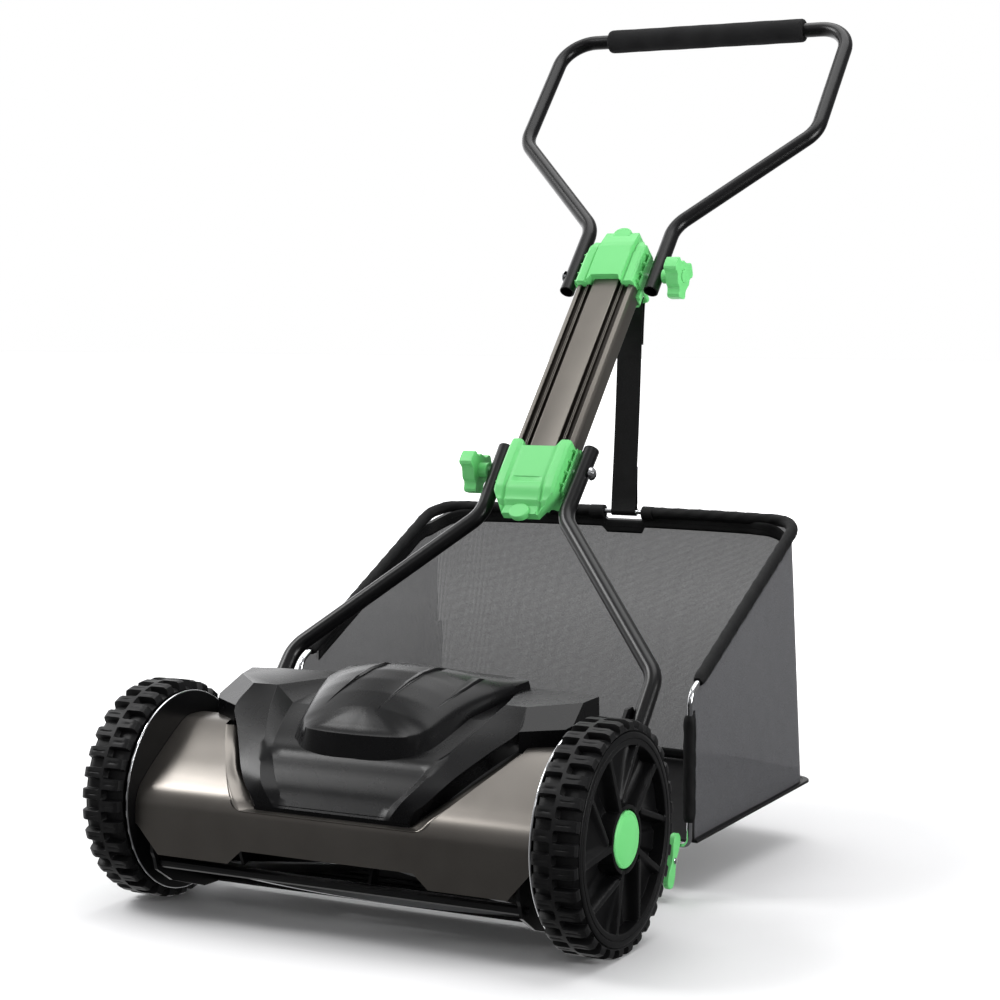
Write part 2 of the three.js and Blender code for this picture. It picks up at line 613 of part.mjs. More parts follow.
function heightLever() {
  const foot = [LEVER.footY, LEVER.footZ];
  const top = [LEVER.topY, LEVER.topZ];
  const tilt = Math.atan2(top[1] - foot[1], top[0] - foot[0]);
  const shape = new THREE.Shape();
  shape.absarc(foot[0], foot[1], 10, tilt + Math.PI / 2, tilt + (3 * Math.PI) / 2);
  shape.absarc(top[0], top[1], 9, tilt - Math.PI / 2, tilt + Math.PI / 2);
  const blade = profileX(shape, LEVER.inner, LEVER.outer, 6);
  const [middleY, middleZ] = [(foot[0] + top[0]) / 2, (foot[1] + top[1]) / 2];
  const boss = cylinderX(7, BRACKET.outer + GAP, LEVER.inner + 1, middleY, middleZ, 16);
  return blade.add(boss);
}

function rearRoller() {
  return turnedX([
    [ROLLER.shaft + GAP, -ROLLER.half], [8, -ROLLER.half], [8, -ROLLER.half + 4], [18, -ROLLER.half + 4],
    [18, -ROLLER.half], [ROLLER.radius - 1, -ROLLER.half], [ROLLER.radius, -ROLLER.half + 1],
    [ROLLER.radius, ROLLER.half - 1], [ROLLER.radius - 1, ROLLER.half], [18, ROLLER.half],
    [18, ROLLER.half - 4], [8, ROLLER.half - 4], [8, ROLLER.half], [ROLLER.shaft + GAP, ROLLER.half],
  ], ROLLER.y, ROLLER.z, 20);
}

for (const side of SIDES) {
  add(`roller_bracket_${side.name}`, onSide(rollerBracket(), side), 'blackPaint');
  add(`height_lever_${side.name}`, onSide(heightLever(), side), 'green');
}
add('roller_shaft', cylinderX(ROLLER.shaft, -243, 243, ROLLER.y, ROLLER.z, 12), 'steel');
add('rear_roller', rearRoller(), 'blackPlastic');

// ---------------------------------------------------------------- lower handle tubes
const boltHole = (s) => {
  const at = onHandle(0, s);
  return cylinderX(BOLT_RADIUS + GAP, -110, 110, at.y, at.z, 12);
};

function hollowTube(points, sides) {
  return rod(points, TUBE.radius, sides).subtract(rod(stretched(points, 5), TUBE.bore, sides));
}

function lowerTube() {
  const { x, start, bend, neckX, neck, topX, end, radius } = LOWER_TUBE;
  const route = rounded([
    { at: onHandle(x, start) }, { at: onHandle(x, bend), radius },
    { at: onHandle(neckX, neck), radius }, { at: onHandle(topX, end) },
  ]);
  const plateBolt = cylinderX(BOLT_RADIUS + GAP, 225, 260, TUBE_BOLT.y, TUBE_BOLT.z, 12);
  return hollowTube(route, 10).subtract(boltHole(LOWER_BOLT)).subtract(plateBolt);
}

function tubeBolt() {
  const { y, z } = TUBE_BOLT;
  const shank = cylinderX(BOLT_RADIUS, 221, 254, y, z, 12);
  const nut = cylinderX(7, 220, PLATE.inner - GAP, y, z, 6);
  const face = LOWER_TUBE.x + TUBE.radius + GAP;
  const dome = [[0, face], [7.5, face], [6.5, face + 2.7], [3.5, face + 4.7], [0, face + 5.2]];
  const head = turnedX(dome, y, z, 16);
  return union([shank, nut, head]);
}

for (const side of SIDES) {
  add(`lower_tube_${side.name}`, onSide(lowerTube(), side), 'blackPaint');
  add(`tube_bolt_${side.name}`, onSide(tubeBolt(), side), 'chrome');
}

// ---------------------------------------------------------------- column and its end clamps
// Everything here is drawn in the handle frame: x across, y along the handle, z out of its front face.
function alongHandle(shape, s0, s1) {
  return moved(solid(extrude(shape, s1 - s0).applyMatrix4(ALONG_Y)), 0, s1, 0);
}

const crossBolt = (radius, s) => solid(
  new THREE.CylinderGeometry(radius, radius, 240, 12).rotateZ(-Math.PI / 2).translate(0, s, 0));

function column() {
  const { half, front, wall, start, end } = COLUMN;
  const right = [
    [17, front], [18.5, 11.5], [25.5, 11.5], [26.5, front - 1], [32, front - 1], [34, 11], [half - 3, 7],
  ];
  const points = [
    ...right, [half, 3], [half, -10], [half - 5, -front], [-half + 5, -front], [-half, -10], [-half, 3],
    ...right.toReversed().map(([x, off]) => [-x, off]),
  ];
  const shape = outline(points);
  const inner = half - wall;
  shape.holes.push(outline([
    [-inner, -9], [-inner + 4, -front + wall], [inner - 4, -front + wall], [inner, -9], [inner, 1.5],
    [33, 8], [-33, 8], [-inner, 1.5],
  ]));
  const extrusion = alongHandle(shape, start, end);
  return extrusion.subtract(union([LOWER_BOLT, UPPER_BOLT].map((s) => crossBolt(BOLT_RADIUS + GAP, s))));
}

// The half-clamp's section: flanges at the sides, rounded shoulders and a raised centre band.
const CLAMP_SECTION = [
  [CLAMP.half, GAP / 2], [CLAMP.half, 6], [44, 7], [43, 16], [40.5, 19.5], [32, 20.5], [28, 18.5], [24, 18.5],
  [19, CLAMP.crown],
];

function clampHalf() {
  const points = [...CLAMP_SECTION, ...CLAMP_SECTION.toReversed().map(([x, off]) => [-x, off])];
  return alongHandle(outline(points), -CLAMP.reach - 45, CLAMP.reach);
}

// The seat for the column: the clamp covers its end and its front.
function columnSeat(from) {
  return box(-COLUMN.half - 0.4, COLUMN.half + 0.4, from - GAP, 120, -COLUMN.front - GAP, COLUMN.front + GAP);
}

// Drawn about its bolt, with the nose towards -Y.
function clampFront(seatStart) {
  const plan = solid(extrude(outline([
    [-CLAMP.half, CLAMP.reach], [-44, 30], [-31, 30], [-25, 21], [25, 21], [31, 30], [44, 30],
    [CLAMP.half, CLAMP.reach], [CLAMP.half, -30], [42, -36], [27, -CLAMP.nose], [-27, -CLAMP.nose],
    [-42, -36], [-CLAMP.half, -30],
  ]), 40)).translate([0, 0, -2]);
  const side = solid(extrude(outline([
    [-CLAMP.reach - 40, -1], [-CLAMP.reach - 40, 4], [-62, 13], [-54, 16], [-18, 24], [CLAMP.reach + 5, 24.5],
    [CLAMP.reach + 5, -1],
  ]), 120).applyMatrix4(ALONG_X)).translate([-60, 0, 0]);
  const tab = solid(new THREE.CylinderGeometry(14, 14, 4, 20).rotateX(Math.PI / 2).translate(0, -66, 2.4));
  const ribs = [];
  for (const x of [-1, 1]) {
    for (const s of [-26, -10, 6, 22]) {
      const [x0, x1] = [x * 42.5, x * (CLAMP.half - GAP)].sort((a, b) => a - b);
      ribs.push(box(x0, x1, s - 1, s + 1, 5, 14));
    }
  }
  const body = clampHalf().intersect(plan).intersect(side).subtract(columnSeat(seatStart));
  return union([body, tab, ...ribs]).subtract(crossBolt(BOLT_RADIUS + GAP, 0));
}

function clampBack(seatStart) {
  const plan = solid(extrude(outline([
    [-CLAMP.half, CLAMP.reach], [CLAMP.half, CLAMP.reach], [CLAMP.half, -30], [38, -44], [-38, -44],
    [-CLAMP.half, -30],
  ]), 40)).translate([0, 0, -2]);
  const body = clampHalf().intersect(plan).subtract(columnSeat(seatStart));
  return body.mirror([0, 0, 1]).subtract(crossBolt(BOLT_RADIUS + GAP, 0));
}

// A wire bail behind the upper clamp holds the catcher's strap.
function strapBail() {
  const top = vec(STRAP.x, STRAP.bailY - HANDLE.y, STRAP.bailZ - HANDLE.z);
  top.applyAxisAngle(vec(1, 0, 0), -HANDLE.angle);
  const [s, off] = [top.y, top.z];
  const root = -COLUMN.front - 6;
  const half = STRAP.half + 6;
  const route = rounded([
    { at: vec(STRAP.x - half, s, root) }, { at: vec(STRAP.x - half, s, off), radius: 5 },
    { at: vec(STRAP.x + half, s, off), radius: 5 }, { at: vec(STRAP.x + half, s, root) },
  ], 3);
  return rod(route, STRAP.bail, 8);
}

const lowerSeat = COLUMN.start - LOWER_BOLT;
const upperSeat = UPPER_BOLT - COLUMN.end;
const atUpper = (shape) => moved(shape.mirror([0, 1, 0]), 0, UPPER_BOLT, 0);
add('column', column(), 'column', handleFrame);
add('lower_clamp_front', moved(clampFront(lowerSeat), 0, LOWER_BOLT, 0), 'green', handleFrame);
add('lower_clamp_back', moved(clampBack(lowerSeat), 0, LOWER_BOLT, 0), 'green', handleFrame);
add('upper_clamp_front', atUpper(clampFront(upperSeat)), 'green', handleFrame);
add('upper_clamp_back', atUpper(clampBack(upperSeat)).add(strapBail()), 'green', handleFrame);

// Each clamp bolt has a domed nut on one side and a three-lobed knob on the other.
function clampBolt(s, nutSign) {
  const tubeFace = LOOP.x + TUBE.radius;
  const shank = solid(new THREE.CylinderGeometry(BOLT_RADIUS, BOLT_RADIUS, tubeFace + 88, 12)
    .rotateZ(-Math.PI / 2).translate((tubeFace - 86) / 2, 0, 0));
  const dome = solid(new THREE.SphereGeometry(8.5, 12, 8).scale(0.8, 1, 1).translate(tubeFace + GAP, 0, 0));
  const cut = box(tubeFace + GAP, tubeFace + 30, -20, 20, -20, 20);
  const bolt = shank.add(dome.intersect(cut));
  return moved(nutSign > 0 ? bolt : mirroredX(bolt), 0, s, 0);
}

function wingKnob(s, sign) {
  const lobes = Array.from({ length: 36 }, (_, i) => {
    const angle = (2 * Math.PI * i) / 36;
    return polar(0, 0, KNOB.mean + KNOB.lobe * Math.cos(3 * angle), angle);
  });
  const shape = outline(lobes);
  const start = LOOP.x + TUBE.radius + GAP;
  const wing = profileX(shape, start + KNOB.gap, start + KNOB.gap + KNOB.thick);
  const boss = cylinderX(KNOB.boss, start, start + KNOB.gap + 1, 0, 0, 20);
  const bore = cylinderX(BOLT_RADIUS + GAP, start - 1, start + 20, 0, 0, 12);
  const knob = wing.add(boss).subtract(bore);
  return moved(sign > 0 ? knob : mirroredX(knob), 0, s, 0);
}

add('lower_clamp_bolt', clampBolt(LOWER_BOLT, 1), 'chrome', handleFrame);
add('upper_clamp_bolt', clampBolt(UPPER_BOLT, -1), 'chrome', handleFrame);
add('lower_knob', wingKnob(LOWER_BOLT, -1), 'green', handleFrame);
add('upper_knob', wingKnob(UPPER_BOLT, 1), 'green', handleFrame);

// ---------------------------------------------------------------- upper handle loop
function handleLoop() {
  const { x, start, bend, wideX, wide, top, radius } = LOOP;
  const half = [
    { at: vec(x, start, 0) }, { at: vec(x, bend, 0), radius }, { at: vec(wideX, wide, 0), radius },
    { at: vec(wideX, top, 0), radius },
  ];
  const other = half.toReversed().map((turn) => ({ ...turn, at: vec(-turn.at.x, turn.at.y, turn.at.z) }));
  const route = rounded([...half, ...other]);
  return hollowTube(route, 10).subtract(crossBolt(BOLT_RADIUS + GAP, UPPER_BOLT));
}

function foamGrip() {
  return moved(turnedX([
    [TUBE.radius + GAP, -GRIP.half], [GRIP.radius - 2, -GRIP.half], [GRIP.radius, -GRIP.half + 2],
    [GRIP.radius, GRIP.half - 2], [GRIP.radius - 2, GRIP.half], [TUBE.radius + GAP, GRIP.half],
  ], 0, 0, 20), 0, LOOP.top, 0);
}

add('handle_loop', handleLoop(), 'blackPaint', handleFrame);
add('foam_grip', foamGrip(), 'foam', handleFrame);

// ---------------------------------------------------------------- grass catcher
const bowAt = (x) => BAG.bow * (1 - (x / BAG.half) ** 2);
const floorAt = (y) => BAG.floorZ + BAG.floorSlope * (y - BAG.front);

function catcherFrame() {
  const { half, front, hookZ, shoulderZ, rearY, topZ, wire } = BAG;
  const leftHalf = [
    { at: vec(PLATE.inner - 4, front, hookZ) }, { at: vec(half, front, hookZ), radius: 9 },
    { at: vec(half, front, shoulderZ), radius: 22 }, { at: vec(half, rearY, topZ), radius: 40 },
    { at: vec(130, rearY + bowAt(130), topZ), radius: 400 },
  ];
  const middle = { at: vec(0, rearY + BAG.bow, topZ), radius: 500 };
  const rightHalf = leftHalf.toReversed().map(({ at, radius }) => ({ at: vec(-at.x, at.y, at.z), radius }));
  return rod(rounded([...leftHalf, middle, ...rightHalf], 3), wire, 8);
}

// Two side walls and a bowed, slightly leaning back wall of open mesh cloth, hung under the wire frame.
function catcherBag() {
  const { half, front, shoulderZ, rearY, topZ, wire, wall, lean } = BAG;
  const clear = wire + 0.5;
  const lift = clear / Math.cos(Math.atan2(topZ - shoulderZ, rearY - front));
  const rearAt = (z) => rearY + (topZ - z) * lean;
  const startY = front + clear;
  const bottom = (y) => floorAt(y) + GAP + 0.2;
  const lowRear = rearAt(bottom(rearY));
  const slope = (topZ - shoulderZ) / (rearY - front);
  const edge = (y) => shoulderZ + slope * (y - front) - lift;
  const cornerY = rearY - 34;
  const shape = outline([
    [startY, bottom(startY)], [lowRear, bottom(lowRear)], [rearAt(topZ - 30), topZ - 30],
    [cornerY, edge(cornerY)],
    [startY + 20, edge(startY + 20)], [startY, shoulderZ - 26],
  ]);
  const left = profileX(shape, half - wall, half);
  const plan = [];
  const count = 10;
  for (let i = 0; i <= count; i += 1) {
    const x = -half + (2 * half * i) / count;
    plan.push([x, rearY + bowAt(x)]);
  }
  const backPoints = [...plan, ...plan.toReversed().map(([x, y]) => [x, y + wall])];
  const geometry = extrude(outline(backPoints), topZ - clear - 70).translate(0, 0, 70);
  const shear = new THREE.Matrix4().makeShear(0, 0, 0, 0, 0, -lean);
  const back = solid(geometry.translate(0, 0, -topZ).applyMatrix4(shear).translate(0, 0, topZ));
  const cornerCuts = [1, -1].map((sign) => {
    const [x0, x1] = [sign * (half - 40), sign * (half + 10)].sort((a, b) => a - b);
    return box(x0, x1, rearY - 60, rearY + 60, topZ - 30, topZ + 20);
  });
  const underFloor = profileX(outline([
    [200, 0], [700, 0], [700, bottom(700)], [200, bottom(200)],
  ]), -300, 300);
  return union([left, mirroredX(left), back]).subtract(union([underFloor, ...cornerCuts]));
}

function catcherTray() {
  const lip = 6;
  const thick = 3;
  const start = BAG.front + 10;
  const halfWidth = BAG.half + lip;
  const foot = BAG.rearY + (BAG.topZ - BAG.floorZ) * BAG.lean + lip;
  const rear = (x) => foot + BAG.bow * (1 - (x / halfWidth) ** 2);
  const points = [[-halfWidth, start], [halfWidth, start], [halfWidth, rear(halfWidth) - 16]];
  const count = 10;
  for (let i = 0; i <= count; i += 1) {
    const x = (halfWidth - 10) * (1 - (2 * i) / count);
    points.push([x, rear(x)]);
  }
  points.push([-halfWidth, rear(halfWidth) - 16]);
  const geometry = extrude(outline(points), thick);
  const shear = new THREE.Matrix4().makeShear(0, 0, 0, BAG.floorSlope, 0, 0);
  const sheet = solid(geometry.translate(0, -BAG.front, -thick).applyMatrix4(shear));
  return moved(sheet, 0, BAG.front, BAG.floorZ);
}

function strapSolid() {
  const { half, thick, x, bailY, bailZ, bail } = STRAP;
  const low = { y: BAG.rearY + BAG.bow, z: BAG.topZ + BAG.wire + GAP + 0.3 };
  const high = { y: bailY, z: bailZ - bail - GAP };
  return profileX(outline([
    [low.y - thick / 2, low.z], [low.y + thick / 2, low.z],
    [high.y + thick / 2, high.z], [high.y - thick / 2, high.z],
  ]), x - half, x + half);
}

add('catcher_frame', catcherFrame(), 'chrome');
add('catcher_bag', catcherBag(), 'mesh');
add('catcher_tray', catcherTray(), 'blackPlastic');
add('catcher_strap', strapSolid(), 'webbing');

// ---------------------------------------------------------------- centre the model over the origin
mower.updateMatrixWorld(true);
const bounds = new THREE.Box3().setFromObject(mower, true);
mower.position.y = -(bounds.min.y + bounds.max.y) / 2;
const part = new THREE.Group();
part.add(mower);

export default part;
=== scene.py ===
"""Looks for a push reel mower with a folding handle and a grass catcher, built round its CAD frame.

Dimensions below are in millimetres from the point on the ground under the wheel axle; place() and
on_handle() turn them into the row frame's metres. "left" is +X, as a person pushing the mower sees it.
"""
import json
from math import cos, dist, hypot, pi, radians, sin, sqrt, tan

import bmesh
import bpy
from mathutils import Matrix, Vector
from mathutils.bvhtree import BVHTree


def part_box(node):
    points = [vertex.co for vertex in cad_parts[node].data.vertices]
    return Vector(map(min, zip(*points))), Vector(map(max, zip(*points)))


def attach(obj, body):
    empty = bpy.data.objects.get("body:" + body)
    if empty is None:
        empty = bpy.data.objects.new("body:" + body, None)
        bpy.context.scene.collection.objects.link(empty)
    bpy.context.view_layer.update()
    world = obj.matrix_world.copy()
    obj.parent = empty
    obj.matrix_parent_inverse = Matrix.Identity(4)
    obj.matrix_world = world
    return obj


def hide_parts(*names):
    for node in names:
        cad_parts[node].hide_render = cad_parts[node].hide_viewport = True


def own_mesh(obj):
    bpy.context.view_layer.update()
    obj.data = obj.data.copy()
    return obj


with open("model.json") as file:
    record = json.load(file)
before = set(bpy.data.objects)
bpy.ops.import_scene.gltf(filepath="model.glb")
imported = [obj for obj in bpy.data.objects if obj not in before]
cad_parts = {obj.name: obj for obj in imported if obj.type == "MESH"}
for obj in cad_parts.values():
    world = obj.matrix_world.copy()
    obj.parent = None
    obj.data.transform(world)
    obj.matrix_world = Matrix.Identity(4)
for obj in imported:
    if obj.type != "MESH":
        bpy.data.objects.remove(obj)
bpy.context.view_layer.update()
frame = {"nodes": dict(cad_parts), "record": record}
NODES = frame["nodes"]

# ---- camera, lights and world
scene = bpy.context.scene
camera = bpy.data.objects.new("camera", bpy.data.cameras.new("camera"))
camera.location = (1.30712, -2.57022, 0.66924)
camera.rotation_euler = (radians(90 - 4.551), 0, radians(27.973))
camera.data.lens = 83.52
camera.data.sensor_width = 36
scene.collection.objects.link(camera)
scene.camera = camera


def area_light(name, location, target, size, power):
    data = bpy.data.lights.new(name, "AREA")
    data.shape = "RECTANGLE"
    data.size, data.size_y = size
    data.energy = power
    lamp = bpy.data.objects.new(name, data)
    lamp.location = location
    aim = Vector(target) - Vector(location)
    lamp.rotation_euler = aim.to_track_quat("-Z", "Y").to_euler()
    scene.collection.objects.link(lamp)


area_light("key_left", (-2.4, -1.2, 2.9), (0, 0, 0.3), (1.3, 1.3), 72)
area_light("top_soft", (0.2, 0.7, 3.2), (0, 0.1, 0.3), (3.0, 2.2), 62)
area_light("front_high", (0.9, -3.4, 2.6), (0, -0.3, 0.2), (1.6, 0.5), 5)
area_light("right_soft", (2.9, -0.2, 1.0), (0, 0.3, 0.3), (1.2, 1.2), 50)

scene.view_settings.view_transform = "Standard"
world = bpy.data.worlds.new("studio")
world.use_nodes = True
scene.world = world


def set_stops(ramp, *stops):
    elements = ramp.color_ramp.elements
    while len(elements) < len(stops):
        elements.new(0.5)
    for element, (position, colour) in zip(elements, stops):
        element.position = position
        element.color = (*colour, 1)


def studio_world(tree):
    """White to the camera. Reflections see a studio: bright overhead, brightest behind, dark low down."""
    def node(kind):
        return tree.nodes.new("ShaderNode" + kind)

    coords, axes, height = node("TexCoord"), node("SeparateXYZ"), node("ValToRGB")
    tree.links.new(coords.outputs["Generated"], axes.inputs[0])
    tree.links.new(axes.outputs["Z"], height.inputs[0])
    set_stops(height, (0.02, (0.1, 0.1, 0.102)), (0.9, (0.5, 0.5, 0.51)))
    behind, screen = node("VectorMath"), node("ValToRGB")
    behind.operation = "DOT_PRODUCT"
    tree.links.new(coords.outputs["Generated"], behind.inputs[0])
    behind.inputs[1].default_value = (-0.86, 0.51, 0)
    tree.links.new(behind.outputs["Value"], screen.inputs[0])
    set_stops(screen, (0, (0, 0, 0)), (0.3, (0.3, 0.3, 0.3)), (0.7, (1, 1, 1)), (0.95, (2.3, 2.3, 2.33)))
    studio, seen = node("Mix"), node("Mix")
    studio.data_type = seen.data_type = "RGBA"
    studio.blend_type = "LIGHTEN"
    studio.inputs[0].default_value = 1
    tree.links.new(height.outputs[0], studio.inputs[6])
    tree.links.new(screen.outputs[0], studio.inputs[7])
    tree.links.new(node("LightPath").outputs["Is Camera Ray"], seen.inputs[0])
    tree.links.new(studio.outputs[2], seen.inputs[6])
    seen.inputs[7].default_value = (1, 1, 1, 1)
    tree.links.new(seen.outputs[2], tree.nodes["Background"].inputs["Color"])


studio_world(world.node_tree)

# ---- frame and helpers
AXLE_Y = sum(corner.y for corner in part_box("rim_left")) / 2
WHEEL_Z = 125
HANDLE_Y = 94.2
HANDLE_ANGLE = radians(48.67)
SIDES = (("left", 1), ("right", -1))
LOWER_BOLT, UPPER_BOLT, GRIP_AT = 466, 792, 1250.8    # distances along the handle


def place(x, y, z):
    """A point in millimetres from the ground under the axle, in the row frame."""
    return Vector((x / 1000, y / 1000 + AXLE_Y, z / 1000))


def on_handle(x, s, off=0.0):
    """A point given across the handle, along it and out of its front face."""
    c, n = cos(HANDLE_ANGLE), sin(HANDLE_ANGLE)
    return place(x, HANDLE_Y + s * c - off * n, WHEEL_Z + s * n + off * c)


def lerp(a, b, t):
    return a + (b - a) * t


def between(p, q, t):
    return tuple(lerp(u, v, t) for u, v in zip(p, q))


def smooth(t):
    t = min(max(t, 0.0), 1.0)
    return t * t * (3 - 2 * t)


def table(points, at):
    """Straight interpolation between rows of a key and its values."""
    if at <= points[0][0]:
        return points[0][1:]
    for low, high in zip(points, points[1:]):
        if at <= high[0]:
            t = (at - low[0]) / (high[0] - low[0])
            return between(low[1:], high[1:], t)
    return points[-1][1:]


def spline(points, steps):
    """A Catmull-Rom curve through the points."""
    out = []
    rows = [Vector(p) for p in points]
    rows = [rows[0] * 2 - rows[1]] + rows + [rows[-1] * 2 - rows[-2]]
    for i in range(1, len(rows) - 2):
        a, b, c, d = rows[i - 1:i + 3]
        for k in range(steps):
            t = k / steps
            out.append(0.5 * (2 * b + (c - a) * t + (2 * a - 5 * b + 4 * c - d) * t ** 2
                + (3 * b - a - 3 * c + d) * t ** 3))
    out.append(rows[-2])
    return out


def rounded(turns, steps=8):
    """A polyline whose corners are rounded: turns holds (point, radius in millimetres)."""
    out = [turns[0][0]]
    for before, (at, radius), after in zip(turns, turns[1:], turns[2:]):
        if not radius:
            out.append(at)
            continue
        a, b = (before[0] - at).normalized(), (after[0] - at).normalized()
        half = a.angle(b) / 2
        setback = radius / 1000 / tan(half)
        start, end = at + a * setback, at + b * setback
        centre = at + (a + b).normalized() * (radius / 1000 / sin(half))
        u, v = start - centre, end - centre
        turn = u.angle(v)
        for k in range(steps + 1):
            t = k / steps
            out.append(centre + (u * sin((1 - t) * turn) + v * sin(t * turn)) / sin(turn))
    out.append(turns[-1][0])
    return out


def mesh_object(name, verts, faces):
    mesh = bpy.data.meshes.new(name)
    mesh.from_pydata([tuple(v) for v in verts], [], faces)
    obj = bpy.data.objects.new(name, mesh)
    scene.collection.objects.link(obj)
    return obj


def piece(name, shape, material, body, replaces=(), slot=None, angle=35, bevel=0.0, segments=2, thickness=0.0,
        materials=None, face_material=None, crisp=False):
    """A mesh object that rides on a body, smooth up to angle, with bevelled edges and a wall if asked."""
    obj = mesh_object(name, *shape)
    mesh = obj.data
    mesh.validate()
    bm = bmesh.new()
    bm.from_mesh(mesh)
    bmesh.ops.remove_doubles(bm, verts=bm.verts, dist=1e-6)
    bmesh.ops.recalc_face_normals(bm, faces=bm.faces)
    bm.to_mesh(mesh)
    bm.free()
    for m in (materials or [material]):
        mesh.materials.append(m)
    if face_material:
        for polygon in mesh.polygons:
            polygon.material_index = face_material(polygon)
    mesh.shade_smooth()
    mesh.set_sharp_from_angle(angle=radians(angle))
    if thickness:
        solidify = obj.modifiers.new("thickness", "SOLIDIFY")
        solidify.thickness = thickness / 1000
        solidify.offset = -1
    if bevel:
        edge = obj.modifiers.new("soft_edges", "BEVEL")
        edge.width = bevel / 1000
        edge.segments = segments
        edge.limit_method = "ANGLE"
        edge.angle_limit = radians(angle)
        edge.harden_normals = crisp
    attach(obj, body)
    if replaces:
        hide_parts(*replaces)
    slot or SLOTS[(materials or [material])[0]]
    return obj


def merged(*parts):
    """Several (verts, faces) joined into one."""
    verts, faces = [], []
    for part_verts, part_faces in parts:
        offset = len(verts)
        verts += list(part_verts)
        faces += [tuple(i + offset for i in face) for face in part_faces]
    return verts, faces


def grid(rows, closed_u=False, closed_v=False):
    """Quads between rows of points, all of one length."""
    n, m = len(rows), len(rows[0])
    verts = [p for row in rows for p in row]
    faces = []
    for i in range(n if closed_v else n - 1):
        for j in range(m if closed_u else m - 1):
            a, b = i * m + j, i * m + (j + 1) % m
            c, d = ((i + 1) % n) * m + (j + 1) % m, ((i + 1) % n) * m + j
            faces.append((a, b, c, d))
    return verts, faces


def capped(rows):
    """A grid of closed rings with both ends filled."""
    verts, faces = grid(rows, closed_u=True)
    m = len(rows[0])
    faces.append(tuple(reversed(range(m))))
    faces.append(tuple(range(len(verts) - m, len(verts))))
    return verts, faces


def circle(radius, count):
    """Points of a circle about the origin of a plane."""
    turns = (2 * pi * k / count for k in range(count))
    return [(radius * cos(a), radius * sin(a)) for a in turns]


def both_sides(half):
    """A half on the left joined with its mirror image on the right."""
    verts, faces = half
    return merged(half, ([Vector((-v.x, v.y, v.z)) for v in verts],
        [tuple(reversed(face)) for face in faces]))


def tangent_at(path, i):
    return (path[min(i + 1, len(path) - 1)] - path[max(i - 1, 0)]).normalized()


def tube(path, radius, sides=20):
    """A round bar along a path, turning as little as it can about its own length."""
    rows = []
    tangents = [tangent_at(path, i) for i in range(len(path))]
    side = tangents[0].orthogonal().normalized()
    for p, tangent in zip(path, tangents):
        side = (side - tangent * side.dot(tangent)).normalized()
        other = tangent.cross(side)
        rows.append([p + side * u + other * v for u, v in circle(radius / 1000, sides)])
    return capped(rows)


def around(x, r, angle, y=0, z=WHEEL_Z):
    """A point at a radius round an axis along X: the wheels' own unless given."""
    return place(x, y + r * cos(angle), z + r * sin(angle))


def lathe_x(profile, y=0, z=WHEEL_Z, segments=64):
    """A closed (radius, x) profile turned about an axis along X."""
    rows = []
    for k in range(segments):
        angle = 2 * pi * k / segments
        rows.append([around(x, r, angle, y, z) for r, x in profile])
    return grid(rows, closed_u=True, closed_v=True)


def prism(outline, low, high, at):
    """An outline extruded between two distances; at(u, v, w) places a point."""
    n = len(outline)
    verts = [at(u, v, w) for w in (low, high) for u, v in outline]
    faces = [tuple(range(n)), tuple(range(n, 2 * n))]
    faces += [(i, (i + 1) % n, n + (i + 1) % n, n + i) for i in range(n)]
    return verts, faces


def along_x(u, v, w):
    return place(w, u, v)


# ---- materials
def srgb(*channels):
    return tuple(c / 3294.6 if c <= 10 else ((c / 255 + 0.055) / 1.055) ** 2.4 for c in channels)


class Nodes:
    """Short calls for a material's node tree."""

    def __init__(self, name):
        self.material = bpy.data.materials.new(name)
        self.material.use_nodes = True
        self.tree = self.material.node_tree
        self.shader = self.tree.nodes["Principled BSDF"]
        self.coords = self.tree.nodes.new("ShaderNodeTexCoord").outputs["Object"]

    def fill(self, socket, value):
        if isinstance(value, bpy.types.NodeSocket):
            self.tree.links.new(value, socket)
        else:
            socket.default_value = value

    def add(self, kind, **inputs):
        node = self.tree.nodes.new("ShaderNode" + kind)
        for key, value in inputs.items():
            if key.replace("_", " ") in node.inputs:
                self.fill(node.inputs[key.replace("_", " ")], value)
            else:
                setattr(node, key, value)
        return node

    def math(self, operation, a, b=0.5):
        node = self.tree.nodes.new("ShaderNodeMath")
        node.operation = operation
        self.fill(node.inputs[0], a)
        self.fill(node.inputs[1], b)
        return node.outputs[0]

    def noise(self, scale, detail=3, stretch=None):
        vector = self.coords
        if stretch:
            vector = self.add("Mapping", Vector=vector, Scale=stretch).outputs[0]
        return self.add("TexNoise", Vector=vector, Scale=scale, Detail=detail).outputs["Fac"]

    def ramp(self, fac, *stops):
        node = self.tree.nodes.new("ShaderNodeValToRGB")
        self.tree.links.new(fac, node.inputs[0])
        set_stops(node, *stops)
        return node.outputs[0]

    def colour(self, fac, dark, light):
        """The base colour varies between two 8-bit colours."""
        self.link(self.ramp(fac, (0.3, srgb(*dark)), (0.7, srgb(*light))), "Base Color")

    def range(self, fac, low, high):
        node = self.add("MapRange", Value=fac)
        node.inputs["To Min"].default_value = low
        node.inputs["To Max"].default_value = high
        return node.outputs[0]

    def link(self, output, name):
        self.tree.links.new(output, self.shader.inputs[name])

    def set(self, **values):
        for key, value in values.items():
            self.shader.inputs[key.replace("_", " ")].default_value = value

    def bump(self, height, strength, distance, normal=None):
        node = self.add("Bump", Height=height, Strength=strength, Distance=distance)
        if normal:
            self.tree.links.new(normal, node.inputs["Normal"])
        return node.outputs[0]


